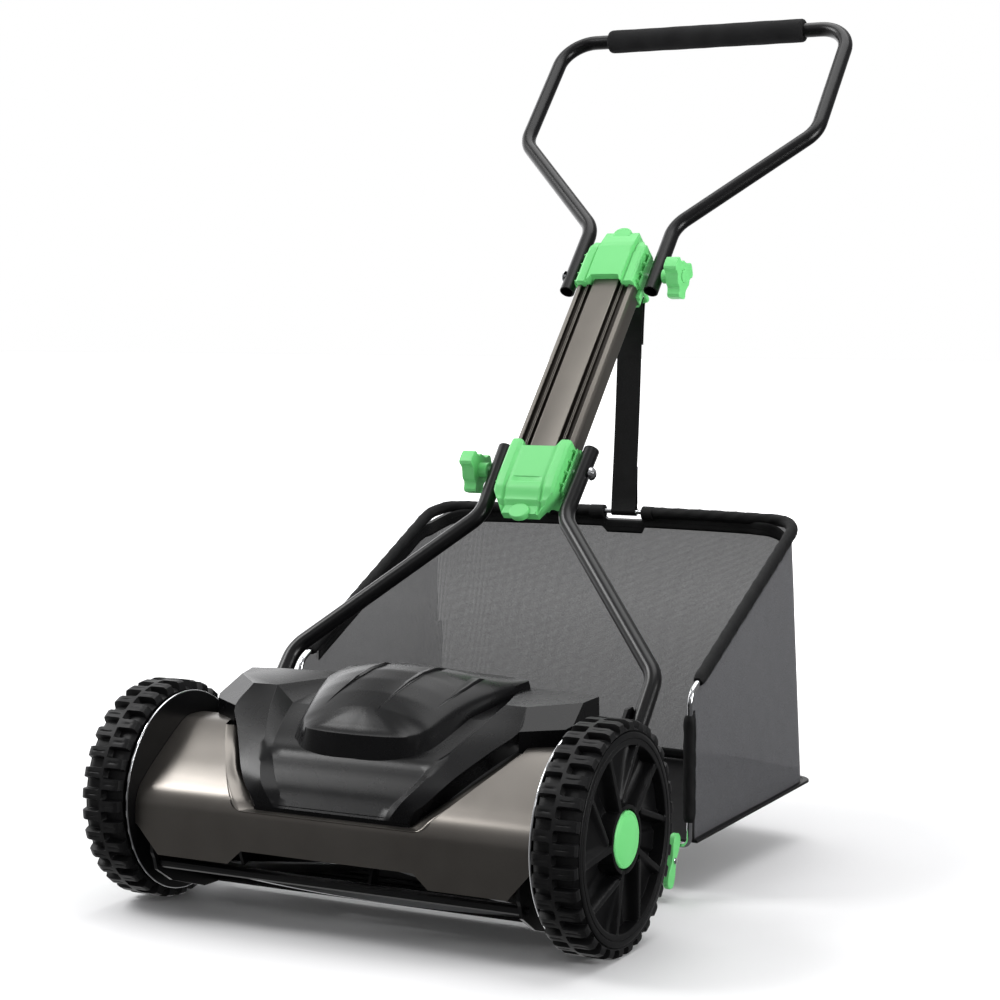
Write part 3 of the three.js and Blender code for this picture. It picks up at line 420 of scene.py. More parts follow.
def finish_material(name, dark, light, metal=0.0, rough=(0.35, 0.45), grain=1400, bump=0.05,
        distance=0.0002, stretch=None, flakes=0.0, soften=0.0, specular=0.5):
    """A procedural finish: mottled colour, varied roughness and a fine surface grain."""
    n = Nodes(name)
    broad = n.noise(9, 4, stretch)
    fine = n.noise(grain, 2, stretch)
    colour = n.ramp(broad, (0.3, srgb(*dark)), (0.7, srgb(*light)))
    if flakes:
        cells = n.add("TexVoronoi", Vector=n.coords, Scale=2600.0).outputs["Color"]
        bright = n.ramp(cells, (0.45, srgb(*dark)), (0.95, srgb(*light)))
        mix = n.add("Mix", data_type="RGBA")
        mix.inputs[0].default_value = flakes
        n.tree.links.new(colour, mix.inputs[6])
        n.tree.links.new(bright, mix.inputs[7])
        colour = mix.outputs[2]
    n.link(colour, "Base Color")
    n.link(n.range(n.noise(36, 3), *rough), "Roughness")
    n.set(Metallic=metal, Specular_IOR_Level=specular)
    rounded_normal = None
    if soften:
        rounded_normal = n.add("Bevel", Radius=soften / 1000, samples=4).outputs[0]
    n.link(n.bump(fine, bump, distance, rounded_normal), "Normal")
    return n.material


GREEN = finish_material("green_plastic", (97, 193, 109), (107, 202, 119), rough=(0.36, 0.46), bump=0.06,
    distance=0.0003, soften=0.8)
DARK_PLASTIC = finish_material("moulded_plastic", (7, 7, 8), (11, 11, 12), rough=(0.36, 0.46), bump=0.08,
    specular=0.18, grain=1800, distance=0.0003, soften=0.6)
COVER_PLASTIC = finish_material("cover_plastic", (7, 7, 8), (10, 10, 11), rough=(0.24, 0.31), specular=0.2,
    grain=2200)
RUBBER = finish_material("tyre_rubber", (9, 9, 10), (15, 15, 16), rough=(0.42, 0.58), bump=0.12,
    specular=0.22, grain=1100, distance=0.0004)
BLACK_PAINT = finish_material("black_paint", (6, 6, 7), (10, 10, 11), rough=(0.26, 0.34), bump=0.02,
    specular=0.3, grain=500)
BRONZE = finish_material("bronze_hood", (112, 108, 103), (124, 120, 115), metal=0.95, rough=(0.3, 0.36),
    bump=0.04, grain=2400, flakes=0.25)
ALLOY = finish_material("column_alloy", (104, 100, 95), (115, 111, 105), metal=0.9, rough=(0.34, 0.42),
    grain=1800, stretch=(1, 1, 0.06))
# A darker copy of the column alloy for the groove faces: painted shade standing in for the dark reflections
# in the grooves.
ALLOY_GROOVE_SHADE = finish_material("column_groove_painted_shade", (44, 41, 37), (54, 50, 46), metal=0.8, rough=(0.36, 0.46),
    grain=1800, stretch=(1, 1, 0.06))
STEEL = finish_material("plain_steel", (150, 150, 152), (186, 186, 188), metal=1.0, rough=(0.28, 0.42),
    bump=0.06, grain=900, soften=0.4)
CHROME = finish_material("bright_chrome", (205, 206, 208), (226, 227, 229), metal=1.0, rough=(0.07, 0.14),
    bump=0.02, grain=300)
BLADE = finish_material("ground_blade", (120, 121, 123), (176, 177, 178), metal=1.0, rough=(0.3, 0.5),
    bump=0.12, grain=500, distance=0.0003, stretch=(0.1, 1, 1))


def foam_material():
    n = Nodes("foam_grip")
    cells = n.add("TexVoronoi", Vector=n.coords, Scale=900.0).outputs["Distance"]
    n.colour(n.noise(30), (16, 16, 17), (25, 25, 26))
    n.link(n.range(n.noise(120), 0.75, 0.92), "Roughness")
    n.set(Specular_IOR_Level=0.2)
    n.link(n.bump(cells, 0.5, 0.0005), "Normal")
    return n.material


def webbing_material():
    """Black woven tape: fine diagonal ribs under a faint fuzz."""
    n = Nodes("black_webbing")
    ribs = n.add("TexWave", Vector=n.coords, Scale=260.0, bands_direction="DIAGONAL").outputs["Fac"]
    cross = n.add("TexWave", Vector=n.coords, Scale=300.0, bands_direction="X").outputs["Fac"]
    weave = n.math("MULTIPLY", ribs, cross)
    n.colour(n.noise(60), (8, 8, 9), (14, 14, 15))
    n.link(n.range(weave, 0.6, 0.8), "Roughness")
    n.set(Specular_IOR_Level=0.2)
    n.link(n.bump(weave, 0.6, 0.0004), "Normal")
    return n.material


def mesh_material(name, cover, along, dark, light):
    """Coarse see-through polyester mesh: dark threads on a 1.6 mm pitch with open holes between them."""
    n = Nodes(name)
    threads = n.add("TexWave", Vector=n.coords, Scale=200.0, bands_direction=along).outputs["Fac"]
    rungs = n.add("TexWave", Vector=n.coords, Scale=200.0, bands_direction="Z").outputs["Fac"]
    weave = n.math("MULTIPLY", n.math("MAXIMUM", threads, rungs), n.range(n.noise(620, 2), 0.45, 1.35))
    n.colour(n.noise(900), dark, light)
    n.set(Specular_IOR_Level=0.25)
    n.link(n.range(n.noise(40), 0.55, 0.75), "Roughness")
    n.link(n.range(weave, cover - 0.07, cover + 0.07), "Alpha")
    n.link(n.bump(weave, 0.1, 0.0002), "Normal")
    return n.material


FOAM = foam_material()
WEBBING = webbing_material()
# One grey mesh cloth in three copies, one per wall: the back and right walls darker, the left wall lighter.
# The differences are painted shade and painted light.
MESH_BACK_SHADED = mesh_material("mesh_back_painted_shade", 0.89, "X", (18, 18, 20), (38, 38, 41))
MESH_LEFT_LIT = mesh_material("mesh_left_side_painted_light", 0.84, "Y", (62, 62, 64), (88, 88, 91))
MESH_RIGHT_SHADED = mesh_material("mesh_right_side_painted_shade", 0.92, "Y", (40, 40, 42), (62, 62, 64))

SLOT_MATERIALS = {"green_plastic": GREEN, "black_plastic": DARK_PLASTIC, "black_paint": BLACK_PAINT,
    "bronze_metal": BRONZE, "column_alloy": ALLOY, "tyre_rubber": RUBBER, "foam": FOAM, "steel": STEEL,
    "chrome": CHROME, "mesh_cloth": MESH_BACK_SHADED, "black_webbing": WEBBING}
SLOTS = {material: slot for slot, material in SLOT_MATERIALS.items()}
SLOTS[COVER_PLASTIC] = "black_plastic"

# ---- finishes of the nodes that stay
for part in frame["record"]["subparts"]:
    mesh = NODES[part["node"]].data
    mesh.materials.clear()
    mesh.materials.append(SLOT_MATERIALS[part["material_slot"]])
for node in ("front_tie_rod", "cutter_bar", "bed_knife", "wheel_guard_left", "wheel_guard_right"):
    NODES[node].data.materials[0] = BLACK_PAINT
for i in range(1, 6):
    NODES[f"reel_blade_{i}"].data.materials.clear()
    NODES[f"reel_blade_{i}"].data.materials.append(BLADE)

# ---- wheels
TYRE_RADIUS, SEAT_RADIUS, INNER_X, OUTER_X = 125, 112.6, 256.3, 307
TREAD_MIDDLE, POCKET_DEPTH, LUGS, LUG_PITCH = 280.4, 8, 32, 24.5


def pocket(x, phase):
    """How deep the tread is cut at a place: two staggered rows of open-ended pockets, 0 to 1."""
    inboard = x < TREAD_MIDDLE
    along = ((phase + (0 if inboard else 0.5)) % 1 - 0.5) * LUG_PITCH
    end = 278.4 - x if inboard else x - 282.4
    half_width = 6.0 - 1.6 * smooth((3.5 - end) / 6)
    edge = min(half_width - abs(along), end)
    return smooth(edge / 1.1 + 0.5)


def tread_radius(x, phase):
    shoulder = 2.6 * smooth((262 - x) / 6) + 2.6 * smooth((x - 300) / 7)
    cut = POCKET_DEPTH * pocket(x, phase)
    inboard = x < TREAD_MIDDLE
    middle = abs(((phase + (0.5 if inboard else 0)) % 1 - 0.5) * LUG_PITCH)
    groove = 0.7 * smooth(1.5 - middle / 0.6) * (1 if 262 < x < 276 or 285 < x < 300 else 0)
    return TYRE_RADIUS - shoulder - max(cut, groove)


def tyre(side, sign):
    columns = [0, 0.06, 0.13, 0.2, 0.23, 0.255, 0.285, 0.32, 0.4, 0.46, 0.5, 0.54, 0.6, 0.68, 0.715, 0.745,
        0.77, 0.8, 0.87, 0.94]
    xs = [256.3, 258, 261, 264, 268, 272, 275, 277.2, 278.2, 279, 280.4, 281.8, 282.6, 283.6, 286, 290, 294,
        298, 301, 304, 306, 307]
    rows = []
    for lug in range(LUGS):
        for c in columns:
            angle = 2 * pi * (lug + c) / LUGS
            profile = [(SEAT_RADIUS, 257.4), (113.4, 256.8)]
            profile += [(min(tread_radius(x, c), 118.2 if x in (INNER_X, OUTER_X) else 200), x) for x in xs]
            profile += [(114.5, 306.8), (113.2, 306), (SEAT_RADIUS, 305.2)]
            rows.append([around(sign * x, r, angle) for r, x in profile])
    piece(f"tyre_{side}_tread", grid(rows, closed_u=True, closed_v=True), RUBBER, f"{side}_wheel",
        (f"tyre_{side}",), angle=30)


RIM_FACE = 307.4
PAIR = 2 * pi / 5
RADIAL, HUB_END, RING_END = (radians(a) for a in (41.5, 29, 1.5))


def polar(r, angle):
    return (r * cos(angle), r * sin(angle))


def segment_distance(p, a, b):
    ab, ap = (b[0] - a[0], b[1] - a[1]), (p[0] - a[0], p[1] - a[1])
    t = min(max((ap[0] * ab[0] + ap[1] * ab[1]) / (ab[0] ** 2 + ab[1] ** 2), 0), 1)
    return hypot(ap[0] - ab[0] * t, ap[1] - ab[1] * t)


def rim_depth(r, angle):
    """How far the rim's outer face lies behind its front plane."""
    turn = (angle - RADIAL + PAIR / 2) % PAIR - PAIR / 2 + RADIAL
    p, hub, ring = polar(r, turn), polar(45, HUB_END), polar(99, RING_END)
    cross = (ring[0] - hub[0]) * (p[1] - hub[1]) - (ring[1] - hub[1]) * (p[0] - hub[0])
    panel = turn < RADIAL and cross > 0
    deep = lerp(2.5, 10, smooth((r - 36) / 60)) if panel else 16 - 3 * smooth((r - 34) / 60)
    ridge = 0.0
    for start, end, half in ((hub, ring, 2.4), (polar(45, HUB_END + PAIR), polar(99, RING_END + PAIR), 2.4),
            (polar(34, RADIAL), polar(98, RADIAL), 2.8)):
        away = segment_distance(p, start, end) - half
        ridge = max(ridge, smooth(1 - away / 3.6) * 0.65 + smooth(1 - away / 9) * 0.35)
    outer = smooth((r - 97.2) / 1.6)
    inner = smooth((39.5 - r) / 3.5)
    solid = max(ridge, outer, inner)
    facet = 0 if panel else 3 * smooth((abs(turn - RADIAL - PAIR / 4) - 0.1) / 0.05)
    groove = 0.9 * smooth(1.4 - abs(r - 105.4) / 0.6)
    return (deep + facet) * (1 - solid) + 0.5 * (1 - outer) * ridge + groove


def rim(side, sign):
    segments = 480
    radii = [112.3, 112.3, 111.6, 110, 107, 106.3, 105.8, 105, 104.5, 103.8, 101, 99.4, 98.6, 97.8, 97.2,
        96.4]
    radii += [95 - 1.6 * i for i in range(34)] + [40.4, 39.6, 38.6, 37.4, 36.2, 34, 32.4]
    rows = []
    for k in range(segments):
        angle = 2 * pi * k / segments
        ring = []
        for i, r in enumerate(radii):
            x = RIM_FACE - rim_depth(r, angle) if i > 1 else (272 if i == 0 else RIM_FACE - 0.8)
            x -= 0.7 * smooth((r - 110.8) / 1.5) if i > 1 else 0
            ring.append((x, r))
        ring += [(304.5, 31.4), (300.2, 31.2), (300.2, 9)]
        rows.append([around(sign * x, r, angle) for x, r in ring])
    front = grid(rows, closed_v=True)
    back = lathe_x([(112.3, sign * 257.2), (112.3, sign * 305), (109.5, sign * 305), (109.5, sign * 285),
        (60, sign * 271), (60, sign * 268.5), (108, sign * 268.5), (108, sign * 257.2)], segments=96)
    hub = lathe_x([(8.4, sign * 256.5), (19, sign * 256.5), (24, sign * 272), (31, sign * 272),
        (31, sign * 300), (8.4, sign * 300)])
    piece(f"rim_{side}_moulding", merged(front, back, hub), DARK_PLASTIC, f"{side}_wheel", (f"rim_{side}",),
        angle=32)


def hub_cap(side, sign):
    profile = [(0.01, 300.6), (30.2, 300.6), (30.6, 301.2), (30.6, 305.6), (30.0, 307.2), (28.6, 308.0),
        (27.4, 308.2), (26.6, 307.7), (25.8, 308.2), (20, 308.7), (12, 309.0), (5, 309.1), (0.01, 309.1)]
    piece(f"hub_cap_{side}_disc", lathe_x([(r, sign * x) for r, x in profile], segments=72), GREEN,
        f"{side}_wheel", (f"hub_cap_{side}",), angle=50)


for side, sign in SIDES:
    tyre(side, sign)
    rim(side, sign)
    hub_cap(side, sign)

# ---- hood and its recess
HOOD_LINE = [(-101, 72), (-101.4, 96), (-101, 119), (-99.4, 131), (-93, 144.5), (-81, 156), (-66, 168),
    (-50, 179.5), (-28, 195), (-10, 206.2), (2, 210.6), (20, 211.2), (42, 208.5), (62, 200), (80, 187)]
HOOD_HALF = 249.5


def hood_line():
    return [(p.x, p.y) for p in spline([(y, z, 0) for y, z in HOOD_LINE], 5)]


def opening_half(z):
    """Half-width of the opening at a height, with its lower corners rounded."""
    if z < 130.5:
        return -1
    width = 114 + (z - 130.5) * (190 - 114) / (207 - 130.5) if z < 207 else 190
    rise = z - 130.5
    if rise < 14:
        width = min(width + 2, 104 + 22 * sqrt(max(1 - (1 - rise / 14) ** 2, 0)))
    return width


def hood():
    """The bent sheet with its front corners, its lower notch and the cover's opening cut out."""
    obj = piece("hood_shell", grid([[place(lerp(-HOOD_HALF, HOOD_HALF, k / 40), y, z) for k in range(41)]
        for y, z in hood_line()]), BRONZE, "chassis", ("hood",), angle=60)
    corner = [(219.5, 40), (300, 40), (300, 104), (248.6, 104), (246.4, 102.6), (221.5, 74.5), (219.5, 72)]
    notch = [(-126, 60), (126, 60), (126, 72), (108, 88), (-108, 88), (-126, 72)]
    heights = [lerp(130.6, 144.5, k / 24) for k in range(25)]
    opening = [(opening_half(z), z) for z in heights] + [(190, 207), (190, 330)]
    opening += [(-x, z) for x, z in reversed(opening)]
    for outline in (corner, [(-x, z) for x, z in corner], notch, opening):
        cutter = mesh_object("cutter", *prism(outline, -160, 160, lambda u, v, w: place(u, w, v)))
        cut = obj.modifiers.new("cut", "BOOLEAN")
        cut.operation = "DIFFERENCE"
        cut.solver = "EXACT"
        cut.object = cutter
        bpy.context.view_layer.update()
        result = bpy.data.meshes.new_from_object(obj.evaluated_get(bpy.context.evaluated_depsgraph_get()))
        obj.modifiers.clear()
        obj.data = result
        bpy.data.objects.remove(cutter)
    obj.data.shade_smooth()
    obj.data.set_sharp_from_angle(angle=radians(60))


hood()


def on_hood(z):
    """The hood's own y at a height, from its front line."""
    for (y0, z0), (y1, z1) in zip(hood_line(), hood_line()[1:]):
        if z0 <= z <= z1:
            return lerp(y0, y1, (z - z0) / max(z1 - z0, 1e-6))
    return HOOD_LINE[8][0]


# The cover's own lines on its left half: where the recess meets it, its outer edge, its crest and the foot
# inside the crest.
FOOT = [(0, -91.5, 136.5), (60, -91.5, 136.5), (90, -91.2, 136.6), (97.8, -90.3, 138.2), (106, -85, 145.5),
    (120, -76, 156), (139.9, -63.1, 171), (153, -45, 183.5), (166.6, -23.9, 196.3), (178, -4, 208)]
LIP = [(0, -98.9, 131.6), (70, -98.9, 131.6), (108, -98.9, 131.6), (117.5, -97.6, 134.8), (126, -92.6, 144.2),
    (138.5, -80.6, 154.5), (150, -69, 163), (165, -50, 178), (179, -28, 195), (190, -10, 206.4)]
CREST = [(72, -91, 138), (80.5, -90.2, 150), (90.6, -86.5, 162.5), (101.4, -72, 176.7), (112.1, -50.8, 194.7),
    (122.4, -28.2, 212.1), (135.9, 0.9, 231.1), (147.3, 32.7, 249.2)]
EDGE = [(96.5, -91, 138), (103.5, -89.6, 150), (113.5, -84.2, 158.4), (127, -72, 173.7),
    (139.3, -56.7, 187.5), (161.5, -28.1, 209), (181.7, -2, 228), (176, 27, 249.7)]
TROUGH = [(64, -91, 138), (71, -80, 153), (80, -73.5, 162.5), (91, -62, 177), (101, -48, 194),
    (110, -28, 203), (118, -1, 216), (127, 34, 230)]
MIDDLE = [(-91, 138), (-80, 153), (-73.5, 162.5), (-62, 177), (-48, 194), (-28, 203), (-1, 215), (34, 228)]
TOP_INNER, TOP_FRONT, TOP_OUTER, TOP_REAR = (132, 137, 251), (147.3, 32.7, 249.2), (227, 100, 254.5), (200,
    118, 253)
WING_FRONT, WING_SIDE, WING_TOP, WING_CORNER = (181.7, -2, 228), (223.3, 24.9, 229.6), (221.9, 71.5,
    251.6), (228, 34, 233)
SHOULDER = (176, 27, 249.7)


def refine(points, steps=4):
    return [tuple(p) for p in spline(points, steps)]


def cover():
    """The cover's left half as strips between its lines, mirrored to the right."""
    def strip(a, b, divisions=3):
        return grid([[place(*between(p, q, k / divisions)) for k in range(divisions + 1)] for p,
            q in zip(a, b)])

    crest, edge, trough = refine(CREST), refine(EDGE), refine(TROUGH)
    middle = refine([(0, y, z) for y, z in MIDDLE])
    outside = [(x + 1.5, max(on_hood(min(z, 211)) + 9, y), min(z - 12, 206)) if z > 150
        else (x + 4, y + 9, z - 14) for x, y, z in edge]
    skirt = [[(x, -89.4, 141), (x, -90.2, 131), (x, -82, 119)] for x in (0, 40, 72, 98)]
    parts = [grid([[place(*p) for p in row] for row in skirt]), strip(middle, trough, 8),
        strip(trough, crest, 2), strip(crest, edge, 6), strip(edge, outside, 2)]
    base = [(182, -4, 205), (223, 24, 205), (228, 34, 205), (228, 100, 205), (200, 118, 205), (132, 138, 205)]
    back = [(110, 110, 246), (112, 138, 249)]
    polygons = [(WING_FRONT, WING_SIDE, WING_CORNER, WING_TOP, SHOULDER),
        (SHOULDER, WING_TOP, TOP_OUTER, TOP_REAR, TOP_INNER, TOP_FRONT),
        (WING_FRONT, base[0], base[1], WING_SIDE), (WING_SIDE, base[1], base[2], WING_CORNER),
        (WING_CORNER, base[2], base[3], TOP_OUTER, WING_TOP), (TOP_OUTER, base[3], base[4], TOP_REAR),
        (TOP_REAR, base[4], base[5], TOP_INNER), (TROUGH[-1], TOP_FRONT, TOP_INNER, back[1], back[0]),
        ((0, 34, 228), TROUGH[-1], back[0], (0, 110, 246)), ((0, 110, 246), back[0], back[1], (0, 138, 249)),
        ((0, 138, 249), back[1], TOP_INNER, base[5], (0, 138, 205)),]
    for polygon in polygons:
        parts.append(([place(*v) for v in polygon], [tuple(range(len(polygon)))]))
    piece("top_cover_shell", both_sides(merged(*parts)), COVER_PLASTIC, "chassis", ("top_cover",), angle=26,
        bevel=2.2, segments=3, crisp=True)


def recess():
    """The bevelled border between the hood's opening and the cover."""
    rows = []
    for p, q in zip(refine(LIP), refine(FOOT)):
        row = []
        for t, sink in ((-0.1, 1.4), (-0.03, 0.1), (0.04, -0.35), (0.12, 0.0), (0.22, 1.0), (0.6, 3.0),
                (0.8, 4.0), (1.0, 6.0), (1.12, 16.0)):
            x, y, z = between(p, q, t)
            row.append(place(x, y + sink * 0.8, z - sink * 0.6))
        rows.append(row)
    piece("hood_recess_lip", both_sides(grid(rows)), BRONZE, "chassis", angle=50)


DOME_RIM = [(0, -45.5, 216.6), (20, -45.3, 216.8), (42, -43.6, 217.2), (59, -40.7, 217.8), (69, -33.5, 218.8),
    (75.7, -25.2, 220.4), (83, -12.5, 225), (91.8, 13, 233.3), (102.3, 48, 242.7), (113.2, 90.4, 252.9),
    (119, 142, 258)]
DOME_FOOT = [(0, -51, 190), (24, -51, 190.4), (46, -49.5, 191.5), (62, -46, 193.4), (72, -41, 195),
    (78, -35, 197.5), (88, -25, 203), (97, -1, 213.7), (105, 42, 226), (116, 90, 240), (122, 142, 248)]
DOME_CROWN = [(-45.5, 216.6), (-34, 227.5), (-15, 243), (5, 257), (25, 268), (45, 275.5), (65, 278),
    (85, 276.5), (110, 271), (142, 263)]
RIBS = [((-59, -10), (-20, 74)), ((12, -24), (46, 84)), ((73, 2), (90, 92))]


def dome():
    """The domed lid from its foot to its crown, and three ribs laid on it."""
    rim = refine(DOME_RIM, 9)
    foot = refine(DOME_FOOT, 9)
    outline = [(-x, y, z) for x, y, z in reversed(rim)][:-1] + rim
    base = [(-x, y, z) for x, y, z in reversed(foot)][:-1] + foot
    rings = 64
    rows = [[place(*between(b, o, k / 3)) for b, o in zip(base, outline)] for k in range(4)]
    last = outline[-1][1]
    for k in range(1, rings + 1):
        t = sin(pi / 2 * k / rings)
        row = []
        for x, y, z in outline:
            spine_y = lerp(y, lerp(y, last, 0.16), 1 - abs(smooth((y + 46) / 188)))
            py = lerp(y, spine_y, t)
            rise = (1 - (1 - t) ** 2.3) ** 0.72
            row.append(place(x * (1 - t), py, z + (max(table(DOME_CROWN, py)[0], z) - z) * rise))
        rows.append(row)
    lid = grid(rows)
    surface = BVHTree.FromPolygons(*lid)
    for number, ((ax, ay), (bx, by)) in enumerate(RIBS, 1):
        rib_rows = []
        for k in range(41):
            t = k / 40
            y = lerp(ay, by, t)
            x = lerp(ax, bx, t) + 5 * sin(pi * t)
            envelope = min(1, t / 0.45) * min(1, (1 - t) / 0.12)
            row = []
            for across, rise in ((-17, -1.2), (-11, 0.1), (-6, 0.9), (-2.4, 2.1), (-0.8, 2.9), (0.2, 2.7),
                    (1.1, -0.6)):
                px = x + across * lerp(0.25, 1, t) * max(envelope, 0.05)
                hit = surface.ray_cast(place(px, y, 400), Vector((0, 0, -1)))[0]
                row.append(hit + Vector((0, 0, (rise * envelope - 0.1) / 1000)))
            rib_rows.append(row)
        piece(f"top_cover_rib_{number}", grid(rib_rows), COVER_PLASTIC, "chassis", angle=60)
    piece("top_cover_dome", lid, COVER_PLASTIC, "chassis", angle=42, bevel=1.2)


cover()
recess()
dome()

# ---- guard edges and height levers
def height_lever(side, sign):
    """A waisted lever with a cross bolt through its middle."""
    foot, top = (233, 24), (250, 68)
    length = dist(foot, top)
    along = ((top[0] - foot[0]) / length, (top[1] - foot[1]) / length)
    right = []
    for k in range(33):
        t = lerp(-9.6, length + 8.6, k / 32)
        waist = lerp(9.2, 5.6, smooth(1 - abs(t - length * 0.5) / 19))
        cap = min(t + 9.6, length + 8.6 - t)
        width = min(waist, sqrt(max(81 - (9 - min(cap, 9)) ** 2, 0)))
        right.append((t, width))
    outline = [(foot[0] + along[0] * t + along[1] * w, foot[1] + along[1] * t - along[0] * w) for t,
        w in right]
    outline += [(foot[0] + along[0] * t - along[1] * w, foot[1] + along[1] * t + along[0] * w) for t,
        w in reversed(right[1:-1])]
    blade = prism(outline, sign * 249, sign * 256, along_x)
    middle = ((foot[0] + top[0]) / 2, (foot[1] + top[1]) / 2)
    boss = lathe_x([(0.01, sign * 239.4), (7, sign * 239.4), (7, sign * 250), (0.01, sign * 250)], *middle,
        32)
    piece(f"height_lever_{side}_moulding", merged(blade, boss), GREEN, "roller_frame",
        (f"height_lever_{side}",), bevel=1.0, segments=3)
    piece(f"height_lever_{side}_bolt", lathe_x([(0.01, sign * 255.5), (3.6, sign * 255.5),
        (3.6, sign * 257.2), (2.8, sign * 257.9), (0.01, sign * 258)], *middle, 24), CHROME, "roller_frame",
        angle=40)


def guard_edge(side, sign):
    """The bright rolled edge of the disc beside the wheel."""
    profile = [(113.2 + u, sign * (251.8 + 1.4 * v)) for u, v in circle(1, 12)]
    piece(f"wheel_guard_{side}_edge", lathe_x(profile, segments=160), CHROME, "chassis", (), "bronze_metal",
        angle=60)


for side, sign in SIDES:
    height_lever(side, sign)
    guard_edge(side, sign)

# ---- handle
for side, sign in SIDES:
    turns = ((242.5, 45, 0), (242.5, 182, 42), (57, 397.2, 42), (60, 503, 0))
    piece(f"lower_tube_{side}_bent", tube(rounded([(on_handle(sign * x, s), r) for x, s, r in turns], 14), 10,
        24), BLACK_PAINT, "chassis", (f"lower_tube_{side}",), angle=40, bevel=0.8)


def handle_loop():
    """A tube with open ends: its outer and inner walls joined at both ends."""
    half = [(60.6, 765.6, 0), (60.6, 880.2, 45), (217.5, 1048.8, 45), (217.5, GRIP_AT, 45)]
    turns = half + [(-x, s, r) for x, s, r in reversed(half)]
    path = rounded([(on_handle(x, s), r) for x, s, r in turns], 14)
    sides = 24
    (outer, _), (inner, _) = tube(path, 10, sides), tube(path, 8.4, sides)
    rings = range(0, len(path) * sides, sides)
    rows = [outer[i:i + sides] for i in rings] + [inner[i:i + sides] for i in reversed(rings)]
    piece("handle_loop_tube", grid(rows, closed_u=True, closed_v=True), BLACK_PAINT, "handle",
        ("handle_loop",), angle=40, bevel=0.4)


handle_loop()


def grip():
    """The foam sleeve, slightly uneven along its length."""
    half, radius = 149.2, 16.5
    profile = [(10.6, -half), (13.4, -half + 0.4), (15.2, -half + 1.6), (16.2, -half + 4)]
    for t in (k / 60 for k in range(61)):
        x = lerp(-half + 6, half - 6, t)
        wave = 0.12 * sin(41 * t) + 0.1 * sin(17 * t + 1)
        profile.append((radius - 0.15 + wave, x))
    profile += [(16.2, half - 4), (15.2, half - 1.6), (13.4, half - 0.4), (10.6, half)]
    rows = [[on_handle(x, GRIP_AT + r * u, r * v) for r, x in profile] for u, v in circle(1, 48)]
    piece("foam_grip_sleeve", grid(rows, closed_u=True, closed_v=True), FOAM, "handle", ("foam_grip",),
        angle=60)


grip()

# ---- column and clamps
def column():
    """The extrusion: a raised panel between two grooves on each side, its section closed across the back."""
    right = [(0, 14.8), (16.0, 14.8), (16.9, 15.0), (17.8, 14.6), (18.8, 9.4), (22.4, 9.4), (23.2, 14.0),
        (24.0, 14.6), (24.5, 14.0), (24.9, 13.0), (25.3, 14.0), (25.8, 14.6), (26.5, 14.0), (27.5, 10.2),
        (32.6, 9.6), (33.8, 13.8), (34.8, 14.4), (39.6, 12.8), (41.2, 9.8), (41.5, 6), (41.5, -10),
        (39.6, -13.2), (36.5, -15)]
    outline = right + [(-x, off) for x, off in reversed(right[1:])]
    inner = [(33.4, -12.6), (38.6, -9), (38.6, 6), (34, 9.6), (-34, 9.6), (-38.6, 6), (-38.6, -9),
        (-33.4, -12.6)]
    shape = prism(outline, 440, 818, lambda u, v, w: on_handle(u, w, v))
    origin = on_handle(0, LOWER_BOLT)
    front = on_handle(0, LOWER_BOLT, 1) - origin

    # Faces in the groove bands take the darker alloy copy: painted shade, not a different metal.
    def groove(polygon):
        x = abs(polygon.center.x) * 1000
        outward = (Vector(polygon.center) - origin).dot(front.normalized()) * 1000
        return 1 if outward > 8 and (17.8 < x < 23.2 or 26.5 < x < 33.8 or 24.4 < x < 25.4) else 0

    piece("column_extrusion", shape, ALLOY, "column", ("column",), angle=25, bevel=0.3,
        materials=[ALLOY, ALLOY_GROOVE_SHADE], face_material=groove)


column()


CLAMP_X = [0, 8, 15, 20, 22.2, 23.6, 24.6, 25.6, 27, 29, 32, 35, 38, 40, 41.2, 42.2, 43, 44.2, 45.4, 46.2,
    46.8]


def stations_of(breaks, low, high):
    """Distances along a clamp, close together beside each crease."""
    out = {low, high}
    for b in breaks:
        out |= {b - 1.1, b - 0.4, b + 0.4, b + 1.1}
    for k in range(int((high - low) / 3) + 1):
        out.add(low + 3 * k)
    return sorted(v for v in out if low <= v <= high)


def clamp_front(name, node, body, bolt, stations, height, low, high, ribs):
    """A moulded half-shell. Its outline and its height above the column are functions of its own plane."""
    xs = [-x for x in reversed(CLAMP_X[1:])] + CLAMP_X
    rows = []
    for s in [stations[0]] + stations + [stations[-1]]:
        edge = len(rows) in (0, len(stations) + 1)
        row = []
        for i, x in enumerate([xs[0]] + xs + [xs[-1]]):
            at = min(max(s, low(abs(x))), high(abs(x)))
            off = 0.3 if edge or i in (0, len(xs) + 1) else height(abs(x), at)
            row.append(on_handle(x, bolt + at, off))
        rows.append(row)
    parts = [grid(rows)]
    for sign in (1, -1):
        for s in ribs:
            block = [(sign * 42.6, s - 0.9), (sign * 46.6, s - 0.9), (sign * 46.6, s + 0.9),
                (sign * 42.6, s + 0.9)]
            parts.append(prism(block, 4, 14.6, lambda u, v, w: on_handle(u, bolt + v, w)))
    piece(name, merged(*parts), GREEN, body, (node,), angle=32, bevel=0.6, crisp=True)


def flange(ax, off):
    """The outer flange: a channel between the shoulder's wall and a thin raised lip."""
    if ax < 41.6:
        return off
    if ax < 42.7:
        return lerp(off, 6.5, (ax - 41.6) / 1.1)
    return 6.5 if ax < 45.0 else min(6.5 + 5 * smooth((ax - 45.0) / 0.8), 11.5)


